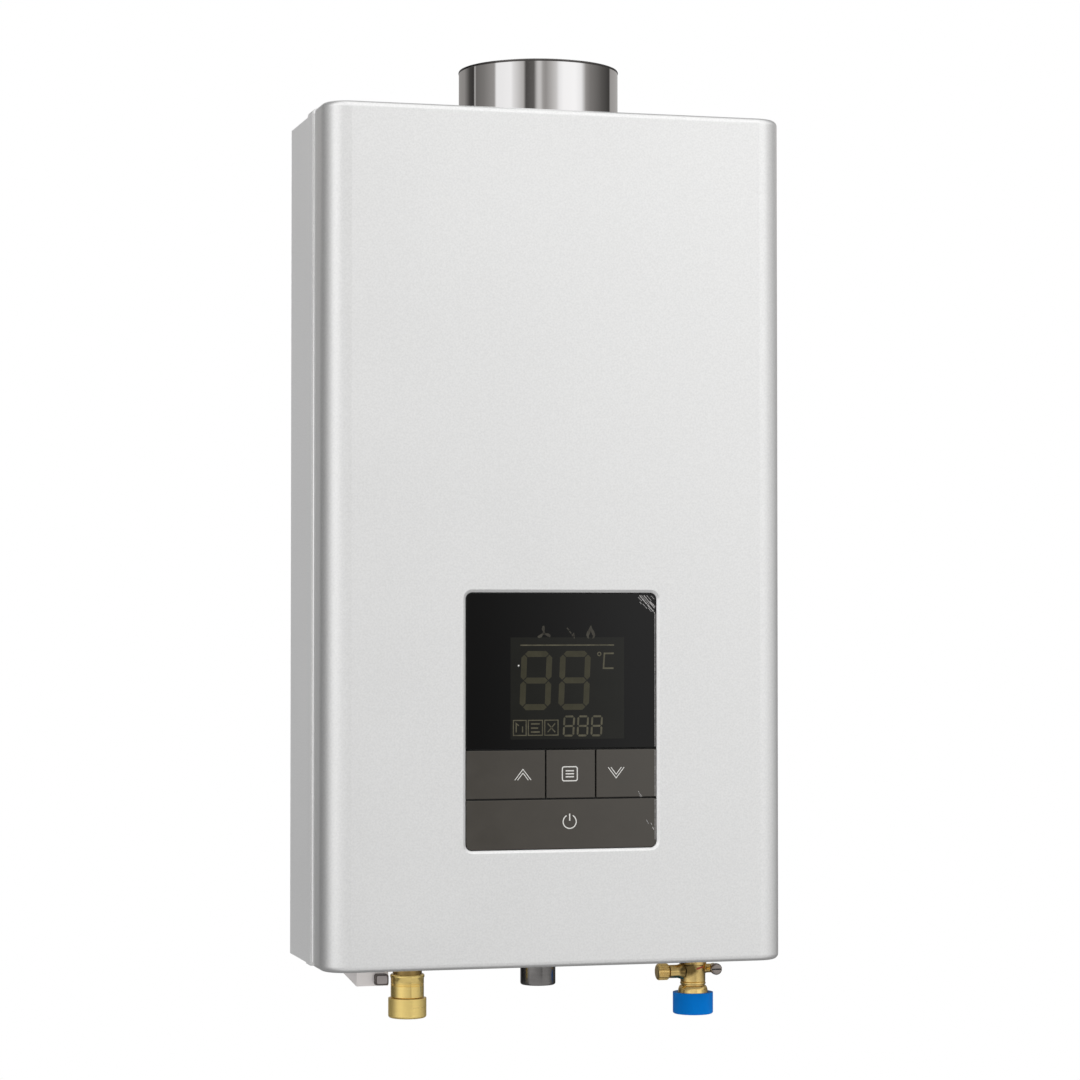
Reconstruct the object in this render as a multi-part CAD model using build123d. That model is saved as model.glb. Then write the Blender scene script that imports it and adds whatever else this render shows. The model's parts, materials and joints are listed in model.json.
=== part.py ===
from build123d import *
import os

# Wall-hung gas water heater. Millimetres, +Z up, the front faces -Y and +X is right seen from the front.
# The origin is the middle of the four wall holes, on the wall plane.

# Case: a front cover over an open-fronted rear casing
cover_width = 320.0
cover_height = 576.0
case_depth = 126.0
sheet = 1.0
cover_corner_radius = 18.0
cover_edge_radius = 4.0
cover_side_depth = 40.0
seam_step = 1.3
skirt_depth = 16.0
seam_gap = 0.3
casing_top_drop = 3.0
casing_corner_radius = 3.0
shelf_width = 190.0
cover_tab_width = 22.0
cover_tab_inset = 16.0
cover_tab_reach = 10.0
cover_screw_radius = 2.0
cover_screw_length = 9.0
vent_slot_length = 34.0
vent_slot_width = 4.0
vent_slot_pitch = 9.0
vent_slot_count = 5

# Screws and general clearances
screw_gap = 0.15
screw_head_height = 1.4
screw_head_ratio = 1.9
recess_depth = 0.8
recess_reach_ratio = 1.15
recess_width_ratio = 0.4
hole_gap = 0.3
shaft_gap = 0.05

# Wall brackets
bracket_sheet = 1.5
bracket_overlap = 34.0
wall_hole_spacing = 200.0
wall_hole_radius = 3.0
wall_ear_rise = 5.0
wall_ear_margin = 7.0
rivet_radius = 2.0
rivet_inset = 12.0

# Flue collar
flue_x = 2.0
flue_radius = 55.0
flue_sheet = 0.8
flue_rise = 35.0
flue_bead = 0.6
flue_shoulder = 0.6
flue_flange_width = 148.0
flue_flange_depth = 88.0
flue_hole_radius = 49.0
flue_gasket_thickness = 0.6
collar_screw_radius = 1.5
collar_screw_inset = 9.0
collar_screw_spacing = 26.0
notch_gap = 1.2

# Control panel in the front of the cover
panel_x = 2.0
panel_rise = 79.0
panel_width = 132.0
panel_height = 171.0
panel_corner_radius = 4.0
panel_gap = 0.4
panel_proud = 1.7
seat_depth = 2.5
bevel_width = 2.0
bevel_depth = 1.4
window_height = 104.5
window_thickness = 2.0
power_key_height = 33.4
up_key_width = 54.7
menu_key_width = 34.8
key_gap = 1.0
key_thickness = 2.5
key_edge = 0.4
key_travel = 0.8
key_over_travel = 0.4
key_stem_radius = 2.0
key_stem_past = 0.5
key_stem_gap = 0.3
key_press_gap = 0.1
deck_thickness = 2.0
tray_margin = 8.0
tray_wall = 2.0
tray_ear = 12.0
tray_boss_radius = 3.5
tray_rear_room = 5.0
panel_lid_thickness = 1.5
panel_screw_radius = 1.4
board_thickness = 1.6
board_gap = 0.5
display_offset_x = 4.0
display_offset_z = 60.0
display_width = 86.0
display_length = 76.0
display_gap = 0.3
window_ledge = 3.0
switch_size = 6.2
switch_height = 4.3
switch_cap_height = 1.4
switch_cap_radius = 1.8

# Pipe connections under the case, half-inch pipe thread
hot_inset = 70.0
gas_x = 2.0
cold_inset = 46.0
thread_radius = 10.45
thread_length = 9.7
shank_radius = 10.45
fitting_flange_radius = 12.6
fitting_flange_thickness = 2.0
fitting_rise = 13.0
water_bore_radius = 7.0
lock_nut_radius = 16.0
lock_nut_height = 6.0
hot_drop = 25.7
hot_neck_radius = 11.3
hot_neck_start = 9.8
hot_lip_radius = 11.7
hot_lip_height = 2.6
cap_gap = 0.1
hot_cap_radius = 13.0
hot_cap_floor = 2.0
hot_cap_edge = 1.6
cap_washer_thickness = 2.0
cap_washer_gap = 0.3
cap_washer_bore = 6.5
gas_drop = 19.7
gas_radius = 12.1
gas_chamfer = 1.0
gas_thread_radius = 9.3
gas_thread_depth = 14.0
gas_bore_radius = 6.0
cold_drop = 28.9
cold_body_radius = 9.4
cold_neck_start = 9.0
cold_neck_radius = 8.7
cold_groove_depth = 0.5
cold_groove_width = 1.0
cold_flare_top_radius = 9.2
cold_flare_radius = 10.6
cold_flare_height = 5.0
cold_flare_lip = 1.6
cold_cap_radius = 14.0
cold_cap_height = 14.8
cold_cap_edge = 1.2
cold_cap_sink = 0.4

# Branches of the cold inlet: a drain on the left and a relief screw on the right
branch_drop = 14.0
branch_radius = 4.6
drain_boss_end = 17.6
drain_knob_radius = 5.8
drain_knob_length = 8.6
drain_knob_edge = 1.8
drain_flutes = 24
drain_flute_radius = 0.45
spindle_radius = 2.0
spindle_length = 6.0
relief_reach = 14.7
relief_lift = 1.6
relief_arm_radius = 3.1
relief_boss_radius = 3.5
relief_boss_length = 5.6
relief_screw_radius = 4.0
relief_screw_height = 3.2
relief_screw_edge = 1.1
relief_slot_width = 1.0
relief_slot_depth = 1.2
knob_gap = 0.3

# Power inlet under the left corner
power_inset = 45.8
power_width = 22.2
power_depth = 46.0
power_drop = 17.5
power_slope = 4.3
power_neck_margin = 3.0
power_neck_height = 8.0
power_edge = 1.0
bung_width = 9.4
bung_height = 7.6
bung_depth = 10.0
bung_proud = 4.0
bung_inset = 0.6
bung_edge = 1.6

# Burner stack behind the cover, from the flue downward
stack_side_room = 68.0
stack_front_gap = 2.0
stack_sheet = 1.0
hood_gap = 3.0
hood_top_width = 150.0
hood_height = 52.0
exchanger_height = 60.0
chamber_share = 0.7
burner_height = 70.0
bracket_width = 34.0
bracket_height = 24.0
fin_count = 22
fin_thickness = 0.8
fin_margin = 12.0
fin_height = 44.0
fin_gap = 0.1
pass_pitch = 28.0
pipe_radius = 7.5
pipe_wall = 1.0
tube_stub = 4.0
tube_bend_straight = 0.1
pipe_bend = 12.0
pipe_jog_low = 62.0
pipe_jog_high = 12.0
run_gap = 20.0
blade_count = 9
blade_thickness = 7.0
blade_height = 34.0
blade_edge = 2.3
blade_end_gap = 0.3
manifold_size = 12.0
manifold_back = 14.0
nozzle_radius = 2.6
nozzle_height = 6.0
electrode_spacing = 22.0
electrode_rise = 9.0
electrode_radius = 3.2
electrode_flange_radius = 6.0
electrode_flange_thickness = 2.0
electrode_length = 26.0
electrode_tip_radius = 1.0
electrode_tip_length = 14.0
thermostat_radius = 8.0
thermostat_height = 7.0
thermostat_pin_radius = 2.4
thermostat_pin_length = 6.0

# Gas valve and its pipe
valve_width = 48.0
valve_depth = 38.0
valve_height = 55.0
valve_edge = 4.0
coil_radius = 10.0
coil_height = 26.0
coil_spacing = 23.0
gas_pipe_radius = 6.0
gas_run_inset = 18.0
gas_turn = 12.0
gas_lift = 40.0

# Fan below the burner box
fan_offset_x = -12.0
fan_radius = 52.0
fan_width = 44.0
fan_outlet_width = 50.0
fan_drop = 85.0
fan_inlet_radius = 30.0
fan_shaft_hole = 7.0
impeller_radius = 42.0
impeller_depth = 8.0
impeller_gap = 3.0
impeller_blades = 24
impeller_blade_thickness = 1.2
impeller_plate = 1.6
motor_radius = 24.0
motor_length = 34.0
motor_gap = 4.0
motor_edge = 2.0
shaft_radius = 4.0
shaft_engagement = 24.0
hub_radius = 9.0
post_radius = 4.0
post_circle_radius = 45.0
post_count = 3

# Water flow sensor above the cold inlet
sensor_radius = 14.0
sensor_length = 60.0
sensor_bore = 9.3
turbine_gap = 0.4
turbine_length = 14.0
turbine_hub = 3.0
turbine_vanes = 6
turbine_vane_thickness = 1.0
turbine_shaft_radius = 1.5
turbine_end_play = 0.3
spider_thickness = 3.0
spider_boss = 3.6
spider_inset = 12.0
spider_arm = 2.0

# Control box on the left and igniter on the right, both on the back panel
side_gap = 4.0
control_rise = 62.0
control_depth = 46.0
control_wall = 1.8
control_lid_thickness = 1.8
control_boss = 6.0
control_part_height = 16.0
transformer_size = 26.0
relay_size = 13.0
relay_spacing = 27.0
capacitor_radius = 5.5
igniter_rise = 100.0
igniter_height = 76.0
igniter_depth = 34.0
igniter_edge = 2.0

# Places worked out from the driving dimensions
half_width = cover_width / 2
half_height = cover_height / 2
hot_x = -half_width + hot_inset
cold_x = half_width - cold_inset
power_x = -half_width + power_inset
stack_width = cover_width - 2 * stack_side_room
front_y = -case_depth
seam_y = front_y + cover_side_depth
skirt_rear_y = seam_y + skirt_depth
skirt_half_width = half_width + seam_step
casing_half_width = skirt_half_width - sheet - seam_gap
casing_inner_half_width = casing_half_width - sheet
casing_top = half_height - casing_top_drop
casing_bottom = -half_height + sheet + seam_gap
casing_floor = casing_bottom + sheet
casing_roof = casing_top - sheet
casing_back = -bracket_sheet
casing_rear_wall = casing_back - sheet
casing_front = seam_y + sheet + seam_gap
cover_inner_y = front_y + sheet
overshoot = 1.0

cover_tab_x = half_width - cover_tab_inset
cover_screw_y = (casing_front + skirt_rear_y) / 2
wall_hole_z = half_height + wall_ear_rise
hood_front = cover_inner_y + hood_gap
hood_back = casing_rear_wall - hood_gap
flue_y = (hood_front + hood_back) / 2
flue_top = half_height + flue_rise
fitting_y = front_y / 2
flange_z = casing_top + flue_gasket_thickness

panel_bottom = -half_height + panel_rise
panel_top = panel_bottom + panel_height
panel_z = (panel_bottom + panel_top) / 2
panel_left = panel_x - panel_width / 2
panel_right = panel_x + panel_width / 2
bevel_y = front_y + bevel_depth
panel_seat_y = front_y + seat_depth
panel_front_y = panel_seat_y - panel_proud
window_back_y = panel_front_y + window_thickness
window_bottom = panel_top - window_height
keys_split_z = panel_bottom + power_key_height
menu_left = panel_left + up_key_width
menu_right = menu_left + menu_key_width
deck_y = panel_front_y + key_thickness + key_travel + key_over_travel
deck_back_y = deck_y + deck_thickness
stem_tip_y = deck_back_y + key_stem_past
board_y = stem_tip_y + key_travel + key_press_gap + switch_height
board_back_y = board_y + board_thickness
tray_back_y = board_back_y + tray_rear_room
panel_lid_back_y = tray_back_y + panel_lid_thickness
tray_width = panel_width + 2 * tray_margin
tray_height = panel_height + 2 * tray_margin
board_width = tray_width - 2 * tray_wall - 2 * board_gap
board_height = tray_height - 2 * tray_wall - 2 * board_gap
display_x = panel_x + display_offset_x
display_z = panel_top - display_offset_z
tray_ear_x = tray_width / 2 + tray_ear / 2
tray_ear_z = tray_height / 2 - tray_ear
board_boss_x = board_width / 2 - tray_boss_radius
board_boss_z = board_height / 2 - tray_boss_radius

fitting_top = casing_bottom + fitting_rise
valve_top = fitting_top + valve_height
coil_top = valve_top + coil_height
hood_bottom = casing_roof - hood_height
exchanger_bottom = hood_bottom - exchanger_height
free_height = exchanger_bottom - burner_height - fan_drop - fan_radius - coil_top
chamber_height = free_height * chamber_share
chamber_bottom = exchanger_bottom - chamber_height
burner_bottom = chamber_bottom - burner_height
burner_floor = burner_bottom + stack_sheet
exchanger_z = (hood_bottom + exchanger_bottom) / 2
stack_left = flue_x - stack_width / 2
stack_right = flue_x + stack_width / 2
stack_front = panel_lid_back_y + stack_front_gap
stack_back = 2 * flue_y - stack_front
stack_depth = stack_back - stack_front
pass_front_y = flue_y - pass_pitch
pass_back_y = flue_y + pass_pitch
tube_left = stack_left - tube_stub
tube_right = stack_right + tube_stub
run_left = stack_left - run_gap
run_right = stack_right + run_gap
jog_low = burner_bottom - pipe_jog_low
jog_high = burner_bottom - pipe_jog_high
blade_pitch = (stack_width - 2 * stack_sheet) / blade_count
manifold_y = stack_back - stack_sheet - manifold_back
manifold_top = burner_floor + manifold_size
blade_bottom = manifold_top + nozzle_height + blade_end_gap

hot_neck_end = casing_bottom - hot_drop
cold_neck_end = casing_bottom - cold_drop
gas_end = casing_bottom - gas_drop
branch_z = casing_bottom - branch_drop
drain_face_x = cold_x - drain_boss_end
relief_x = cold_x + relief_reach
relief_z = branch_z + relief_lift
relief_face_y = fitting_y - relief_boss_length
gas_run_x = stack_right - gas_run_inset

fan_x = flue_x + fan_offset_x
fan_z = burner_bottom - fan_drop
fan_back = casing_rear_wall - motor_gap - motor_length
fan_front = fan_back - fan_width
impeller_back = fan_back - stack_sheet - impeller_gap
impeller_front = fan_front + stack_sheet + impeller_gap

sensor_bottom = fitting_top
sensor_top = sensor_bottom + sensor_length
spider_low = sensor_bottom + spider_inset
turbine_bottom = spider_low + spider_thickness + turbine_end_play
turbine_top = turbine_bottom + turbine_length
spider_high = turbine_top + turbine_end_play
turbine_radius = sensor_bore - turbine_gap

control_left = -casing_inner_half_width + side_gap
control_right = hot_x - pipe_radius - side_gap
control_bottom = casing_floor + control_rise
control_top = jog_low - side_gap
control_front = casing_rear_wall - control_depth
control_board_y = casing_rear_wall - control_wall - control_boss
igniter_left = cold_x + sensor_radius + side_gap
igniter_right = casing_inner_half_width - side_gap
igniter_bottom = casing_floor + igniter_rise


# Plain shapes that the pieces are made from
def block(x, y, z):
    """A box between a low and a high value on each axis."""
    size = [high - low for low, high in (x, y, z)]
    middle = [(low + high) / 2 for low, high in (x, y, z)]
    return Pos(*middle) * Box(*size)


def around(middle, size):
    """The low and high value of a span about its middle."""
    return middle - size / 2, middle + size / 2


def rod(radius, start, end):
    """A round bar from one point to another."""
    line = Vector(*end) - Vector(*start)
    return extrude(Plane(origin=start, z_dir=line) * Circle(radius), amount=line.length)


def upright(radius, x, y, z_low, z_high):
    return rod(radius, (x, y, z_low), (x, y, z_high))


def along_y(radius, x, z, y_front, y_back):
    return rod(radius, (x, y_front, z), (x, y_back, z))


def drill_up(radius, x, y, z_low, z_high):
    """An upright cutter that goes a little past both faces."""
    return upright(radius, x, y, z_low - overshoot, z_high + overshoot)


def drill_back(radius, x, z, y_front, y_back):
    """A cutter from front to back that goes a little past both faces."""
    return along_y(radius, x, z, y_front - overshoot, y_back + overshoot)


def turned(x, y, profile):
    """A turned piece on an upright axis, from its outline of radius and height pairs."""
    outline = make_face(Plane.XZ * Polyline(*profile, close=True))
    return Pos(x, y, 0) * revolve(outline, Axis.Z)


def upright_plane(x, y, z):
    """A drawing plane that faces the front, with its own y axis up."""
    return Plane(origin=(x, y, z), x_dir=(1, 0, 0), z_dir=(0, -1, 0))


def plate(x, z, width, height, y_front, y_back, radius):
    """An upright plate with rounded corners."""
    outline = upright_plane(x, y_back, z) * RectangleRounded(width, height, radius)
    return extrude(outline, amount=y_back - y_front)


def pipe(points, radius, wall, bend):
    """A bent tube of straight runs joined by arcs."""
    path = FilletPolyline(*points, radius=bend)
    section = Circle(radius) - Circle(radius - wall)
    return sweep(Plane(origin=path @ 0, z_dir=path % 0) * section, path=path)


def duct(z_low, z_high):
    """One open storey of the burner stack."""
    outer = block((stack_left, stack_right), (stack_front, stack_back), (z_low, z_high))
    inner = block(
        (stack_left + stack_sheet, stack_right - stack_sheet),
        (stack_front + stack_sheet, stack_back - stack_sheet),
        (z_low - overshoot, z_high + overshoot),
    )
    return outer - inner


def group(shapes):
    """Separate solids kept together under one name."""
    return Compound([solid for shape in shapes for solid in shape.solids()])


def headed_pin(radius, head, tip):
    """A pin from the underside of its low round head to its tip."""
    line = (Vector(*tip) - Vector(*head)).normalized()
    crown = Vector(*head) - line * screw_head_height
    return rod(radius, head, tip) + rod(radius * screw_head_ratio, tuple(crown), head)


def screw(radius, head, tip):
    """A headed pin with a cross recess in the top of its head."""
    line = (Vector(*tip) - Vector(*head)).normalized()
    above = Vector(*head) - line * (screw_head_height + overshoot)
    long, short = 2 * radius * recess_reach_ratio, radius * recess_width_ratio
    cross = Rectangle(long, short) + Rectangle(short, long)
    face = Plane(origin=tuple(above), z_dir=tuple(line))
    return headed_pin(radius, head, tip) - extrude(face * cross, amount=overshoot + recess_depth)


# Case
def cover_pan(inset, y_back):
    """The front pan as a solid, drawn in from its outer skin by an inset."""
    wide = 2 * (half_width - inset)
    tall = 2 * (half_height - inset)
    y_front = front_y + inset
    plan = Pos(0, (y_front + y_back) / 2, -tall / 2) * Rectangle(wide, y_back - y_front)
    plan = fillet(plan.vertices().group_by(Axis.Y)[0], cover_corner_radius - inset)
    body = extrude(plan, amount=tall)
    levels = body.edges().group_by(Axis.Z)
    rims = [edge for edge in levels[0] + levels[-1] if edge.center().Y < y_back - cover_edge_radius / 2]
    return fillet(rims, cover_edge_radius - inset)


def skirt_solid(inset, y_front, y_back, z_low):
    wide = skirt_half_width - inset
    body = block((-wide, wide), (y_front, y_back), (z_low, half_height - inset))
    return fillet(body.edges().filter_by(Axis.Y).group_by(Axis.Z)[-1], cover_edge_radius - inset)


def cover_skirt():
    """The stepped rim behind the seam: both sides and the top, open below."""
    outer = skirt_solid(0, seam_y, skirt_rear_y, casing_bottom)
    inner = skirt_solid(sheet, seam_y + sheet, skirt_rear_y + overshoot, casing_bottom - overshoot)
    opening = block(
        (-half_width + sheet, half_width - sheet),
        (seam_y - overshoot, seam_y + sheet + overshoot),
        (casing_bottom - overshoot, half_height - sheet),
    )
    return outer - inner - opening


def cover_tab(side):
    tab = block(
        around(side * cover_tab_x, cover_tab_width),
        (seam_y - cover_tab_reach, skirt_rear_y),
        (-half_height, -half_height + sheet),
    )
    hole = upright(
        cover_screw_radius + hole_gap,
        side * cover_tab_x,
        cover_screw_y,
        -half_height - overshoot,
        casing_floor,
    )
    return tab - hole


def panel_frame(grow):
    """The pressed frame round the panel: a bevel in from the cover's face, and a straight wall to the seat."""
    wide = panel_width + 2 * (panel_gap + grow)
    tall = panel_height + 2 * (panel_gap + grow)
    radius = panel_corner_radius + panel_gap + grow
    front = RectangleRounded(wide + 2 * bevel_width, tall + 2 * bevel_width, radius + bevel_width)
    back = RectangleRounded(wide, tall, radius)
    front_face = upright_plane(panel_x, front_y, panel_z) * front
    bevel = loft([front_face, upright_plane(panel_x, bevel_y, panel_z) * back])
    return bevel + plate(panel_x, panel_z, wide, tall, bevel_y, panel_seat_y, radius)


def tray_ears():
    """The four places where the panel tray is screwed to the cover."""
    return [(panel_x + i * tray_ear_x, panel_z + k * tray_ear_z) for i in (-1, 1) for k in (-1, 1)]


def front_cover():
    body = cover_pan(0, seam_y + sheet) - cover_pan(sheet, seam_y + sheet + overshoot)
    body += cover_skirt()
    for side in (-1, 1):
        body += cover_tab(side)
    body += panel_frame(sheet)
    for x, z in tray_ears():
        body += along_y(tray_boss_radius, x, z, cover_inner_y, panel_seat_y)
        body -= along_y(panel_screw_radius + screw_gap, x, z, cover_inner_y, panel_seat_y + overshoot)
    body -= panel_frame(0)
    notch = upright(flue_radius + notch_gap, flue_x, flue_y, casing_top, half_height + overshoot)
    return body - notch


def cover_screws():
    screws = []
    for side in (-1, 1):
        head = (side * cover_tab_x, cover_screw_y, -half_height)
        tip = (side * cover_tab_x, cover_screw_y, -half_height + cover_screw_length)
        screws.append(screw(cover_screw_radius, head, tip))
    return group(screws)


def casing_box(inset, y_front):
    wide = casing_half_width - inset
    span_z = (casing_bottom + inset, casing_top - inset)
    body = block((-wide, wide), (y_front, casing_back - inset), span_z)
    rear = body.edges().filter_by(Axis.Z).group_by(Axis.Y)[-1]
    return fillet(rear, casing_corner_radius - inset)


def vent_slots():
    """Air slots in the floor between the pipe connections."""
    slots = []
    for middle in ((hot_x + gas_x) / 2, (gas_x + cold_x) / 2):
        for i in range(vent_slot_count):
            x = middle + (i - (vent_slot_count - 1) / 2) * vent_slot_pitch
            slot = Pos(x, fitting_y, casing_bottom - overshoot) * SlotOverall(
                vent_slot_length, vent_slot_width, rotation=90
            )
            slots.append(extrude(slot, amount=sheet + 2 * overshoot))
    return slots


def collar_screw_places():
    x_reach = flue_flange_width / 2 - collar_screw_inset
    rear = flue_y + flue_flange_depth / 2 - collar_screw_inset
    return [(flue_x + i * x_reach, rear - k * collar_screw_spacing) for i in (-1, 1) for k in (0, 1)]


def rivet_places(side):
    """Rivets of the upper bracket (side 1) or the lower bracket (side -1)."""
    z = bracket_edge(side) + side * rivet_inset
    return [(i * wall_hole_spacing / 2, z) for i in (-1, 1)]


def bracket_edge(side):
    """Height of a bracket's inner edge, behind the casing."""
    return side * (half_height - bracket_overlap)


def rear_casing():
    body = casing_box(0, casing_front) - casing_box(sheet, casing_front - overshoot)
    shelf_y = (hood_front, casing_front + overshoot)
    body += block(around(flue_x, shelf_width), shelf_y, (casing_roof, casing_top))
    body -= drill_up(flue_hole_radius, flue_x, flue_y, casing_roof, casing_top)
    for x in (hot_x, gas_x, cold_x):
        body -= drill_up(shank_radius + hole_gap, x, fitting_y, casing_bottom, casing_floor)
    for slot in vent_slots():
        body -= slot
    for side in (-1, 1):
        tab_x = side * cover_tab_x
        body -= drill_up(cover_screw_radius + screw_gap, tab_x, cover_screw_y, casing_bottom, casing_floor)
        for x, z in rivet_places(side):
            body -= drill_back(rivet_radius + screw_gap, x, z, casing_rear_wall, casing_back)
    for x, y in collar_screw_places():
        body -= drill_up(collar_screw_radius + screw_gap, x, y, casing_roof, casing_top)
    return body - power_neck(hole_gap, casing_bottom - overshoot)


def wall_bracket(side):
    """A flat strip riveted to the back, its ears past the end of the case."""
    ear = 2 * wall_ear_margin
    outer = wall_hole_z + wall_ear_margin
    inner = half_height - bracket_overlap
    strip_z = sorted((side * inner, side * casing_top))
    body = block(around(0, wall_hole_spacing + ear), (casing_back, 0), strip_z)
    for i in (-1, 1):
        x = i * wall_hole_spacing / 2
        ear_z = sorted((side * casing_top, side * (outer - wall_ear_margin)))
        body += block(around(x, ear), (casing_back, 0), ear_z)
        body += along_y(wall_ear_margin, x, side * wall_hole_z, casing_back, 0)
        body -= drill_back(wall_hole_radius, x, side * wall_hole_z, casing_back, 0)
    for x, z in rivet_places(side):
        body -= drill_back(rivet_radius + screw_gap, x, z, casing_back, 0)
    return body


def bracket_rivets():
    places = [place for side in (-1, 1) for place in rivet_places(side)]
    return group([headed_pin(rivet_radius, (x, casing_rear_wall, z), (x, 0, z)) for x, z in places])


# Flue
def flue_collar():
    """The spigot that the flue pipe goes on, with a bead in its rim, a low shoulder and a flange."""
    flange = Pos(flue_x, flue_y, flange_z) * Rectangle(flue_flange_width, flue_flange_depth)
    body = extrude(flange, amount=flue_sheet)
    body += upright(flue_radius + flue_shoulder, flue_x, flue_y, flange_z, half_height)
    body += upright(flue_radius, flue_x, flue_y, flange_z, flue_top)
    body -= drill_up(flue_radius - flue_sheet, flue_x, flue_y, flange_z, flue_top)
    body += Pos(flue_x, flue_y, flue_top - 2 * flue_bead) * Torus(flue_radius - flue_sheet, flue_bead)
    for x, y in collar_screw_places():
        body -= drill_up(collar_screw_radius + screw_gap, x, y, flange_z, flange_z + flue_sheet)
    return body


def flue_gasket():
    sheet_outline = Pos(flue_x, flue_y, casing_top) * Rectangle(flue_flange_width, flue_flange_depth)
    body = extrude(sheet_outline, amount=flue_gasket_thickness)
    body += upright(flue_radius + flue_shoulder, flue_x, flue_y, casing_top, flange_z)
    body -= drill_up(flue_hole_radius, flue_x, flue_y, casing_top, flange_z)
    for x, y in collar_screw_places():
        body -= drill_up(collar_screw_radius + screw_gap, x, y, casing_top, flange_z)
    return body


def collar_screws():
    head_z = flange_z + flue_sheet
    tip_z = casing_roof - screw_head_height
    places = collar_screw_places()
    return group([screw(collar_screw_radius, (x, y, head_z), (x, y, tip_z)) for x, y in places])


# Control panel
def panel_slice(x, z, y_back):
    """A piece of the panel's face between two gaps, with the panel's own rounded corners."""
    whole = plate(panel_x, panel_z, panel_width, panel_height, panel_front_y, y_back, panel_corner_radius)
    return whole & block(x, (panel_front_y - overshoot, y_back + overshoot), z)


def soften_front(body):
    return fillet(body.edges().group_by(Axis.Y)[0], key_edge)


def display_window():
    x = (panel_left, panel_right)
    return soften_front(panel_slice(x, (window_bottom + key_gap / 2, panel_top), window_back_y))


def key_spans():
    """Each key's name with its span across and its span up."""
    upper = (keys_split_z + key_gap / 2, window_bottom - key_gap / 2)
    lower = (panel_bottom, keys_split_z - key_gap / 2)
    return {
        "up_button": ((panel_left, menu_left - key_gap / 2), upper),
        "menu_button": ((menu_left + key_gap / 2, menu_right - key_gap / 2), upper),
        "down_button": ((menu_right + key_gap / 2, panel_right), upper),
        "power_button": ((panel_left, panel_right), lower),
    }


def key_stems(name):
    """Places of a key's three stems: a guide on each side and the one that works the switch."""
    (left, right), (low, high) = key_spans()[name]
    quarter = (right - left) / 4
    return [(left + i * quarter, (low + high) / 2) for i in (1, 2, 3)]


def key(name):
    x, z = key_spans()[name]
    back_y = panel_front_y + key_thickness
    body = soften_front(panel_slice(x, z, back_y))
    for stem_x, stem_z in key_stems(name):
        body += along_y(key_stem_radius, stem_x, stem_z, back_y, stem_tip_y)
    return body


def board_bosses():
    return [(panel_x + i * board_boss_x, panel_z + k * board_boss_z) for i in (-1, 1) for k in (-1, 1)]


def panel_tray():
    """The moulding behind the panel: a pocket for the keys, a deck that guides them and a rear wall."""
    body = block(around(panel_x, tray_width), (panel_seat_y, tray_back_y), around(panel_z, tray_height))
    body -= block(
        around(panel_x, tray_width - 2 * tray_wall),
        (deck_back_y, tray_back_y + overshoot),
        around(panel_z, tray_height - 2 * tray_wall),
    )
    pocket_radius = panel_corner_radius + panel_gap
    wide = panel_width + 2 * panel_gap
    tall = panel_height + 2 * panel_gap
    body -= plate(panel_x, panel_z, wide, tall, panel_seat_y - overshoot, deck_y, pocket_radius)
    ledge_x = around(display_x, display_width + 2 * (display_gap + window_ledge))
    ledge_z = around(display_z, display_length + 2 * (display_gap + window_ledge))
    body += block(ledge_x, (window_back_y, deck_y), ledge_z)
    body -= block(
        around(display_x, display_width + 2 * display_gap),
        (window_back_y - overshoot, deck_back_y + overshoot),
        around(display_z, display_length + 2 * display_gap),
    )
    for name in key_spans():
        for x, z in key_stems(name):
            body -= drill_back(key_stem_radius + key_stem_gap, x, z, deck_y, deck_back_y)
    for x, z in tray_ears():
        ear_back = panel_seat_y + deck_thickness
        body += block(around(x, tray_ear), (panel_seat_y, ear_back), around(z, tray_ear))
        body -= drill_back(panel_screw_radius + screw_gap, x, z, panel_seat_y, ear_back)
    for x, z in board_bosses():
        body += along_y(tray_boss_radius, x, z, deck_back_y, board_y)
    return body


def panel_screws():
    head_y = panel_seat_y + deck_thickness
    return group([screw(panel_screw_radius, (x, head_y, z), (x, cover_inner_y, z)) for x, z in tray_ears()])


def panel_lid():
    y = (tray_back_y, panel_lid_back_y)
    return block(around(panel_x, tray_width), y, around(panel_z, tray_height))


def display_board():
    return block(around(panel_x, board_width), (board_y, board_back_y), around(panel_z, board_height))


def display_module():
    y = (window_back_y + display_gap, board_y)
    return block(around(display_x, display_width), y, around(display_z, display_length))


def button_switches():
    switches = []
    for name in key_spans():
        x, z = key_stems(name)[1]
        cap_y = board_y - switch_height
        body_y = cap_y + switch_cap_height
        body = block(around(x, switch_size), (body_y, board_y), around(z, switch_size))
        switches.append(body + along_y(switch_cap_radius, x, z, cap_y, body_y))
    return group(switches)


# Pipe connections
def lock_nuts():
    nuts = []
    for x in (hot_x, gas_x, cold_x):
        hexagon = Pos(x, fitting_y, casing_floor) * RegularPolygon(lock_nut_radius, 6, rotation=30)
        nut = extrude(hexagon, amount=lock_nut_height)
        nuts.append(nut - upright(shank_radius + screw_gap, x, fitting_y, casing_floor, fitting_top))
    return group(nuts)


def shank_outline(bore):
    """Outline of a fitting from its bore at the top, down its shank, to the underside of its flange."""
    flange_low = casing_bottom - fitting_flange_thickness
    return [
        (bore, fitting_top),
        (shank_radius, fitting_top),
        (shank_radius, casing_bottom),
        (fitting_flange_radius, casing_bottom),
        (fitting_flange_radius, flange_low),
    ]


def thread_outline(neck_end):
    """Outline of a threaded end below a neck, back to the water bore."""
    end = neck_end - thread_length
    return [(thread_radius, neck_end), (thread_radius, end), (water_bore_radius, end)]


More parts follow.
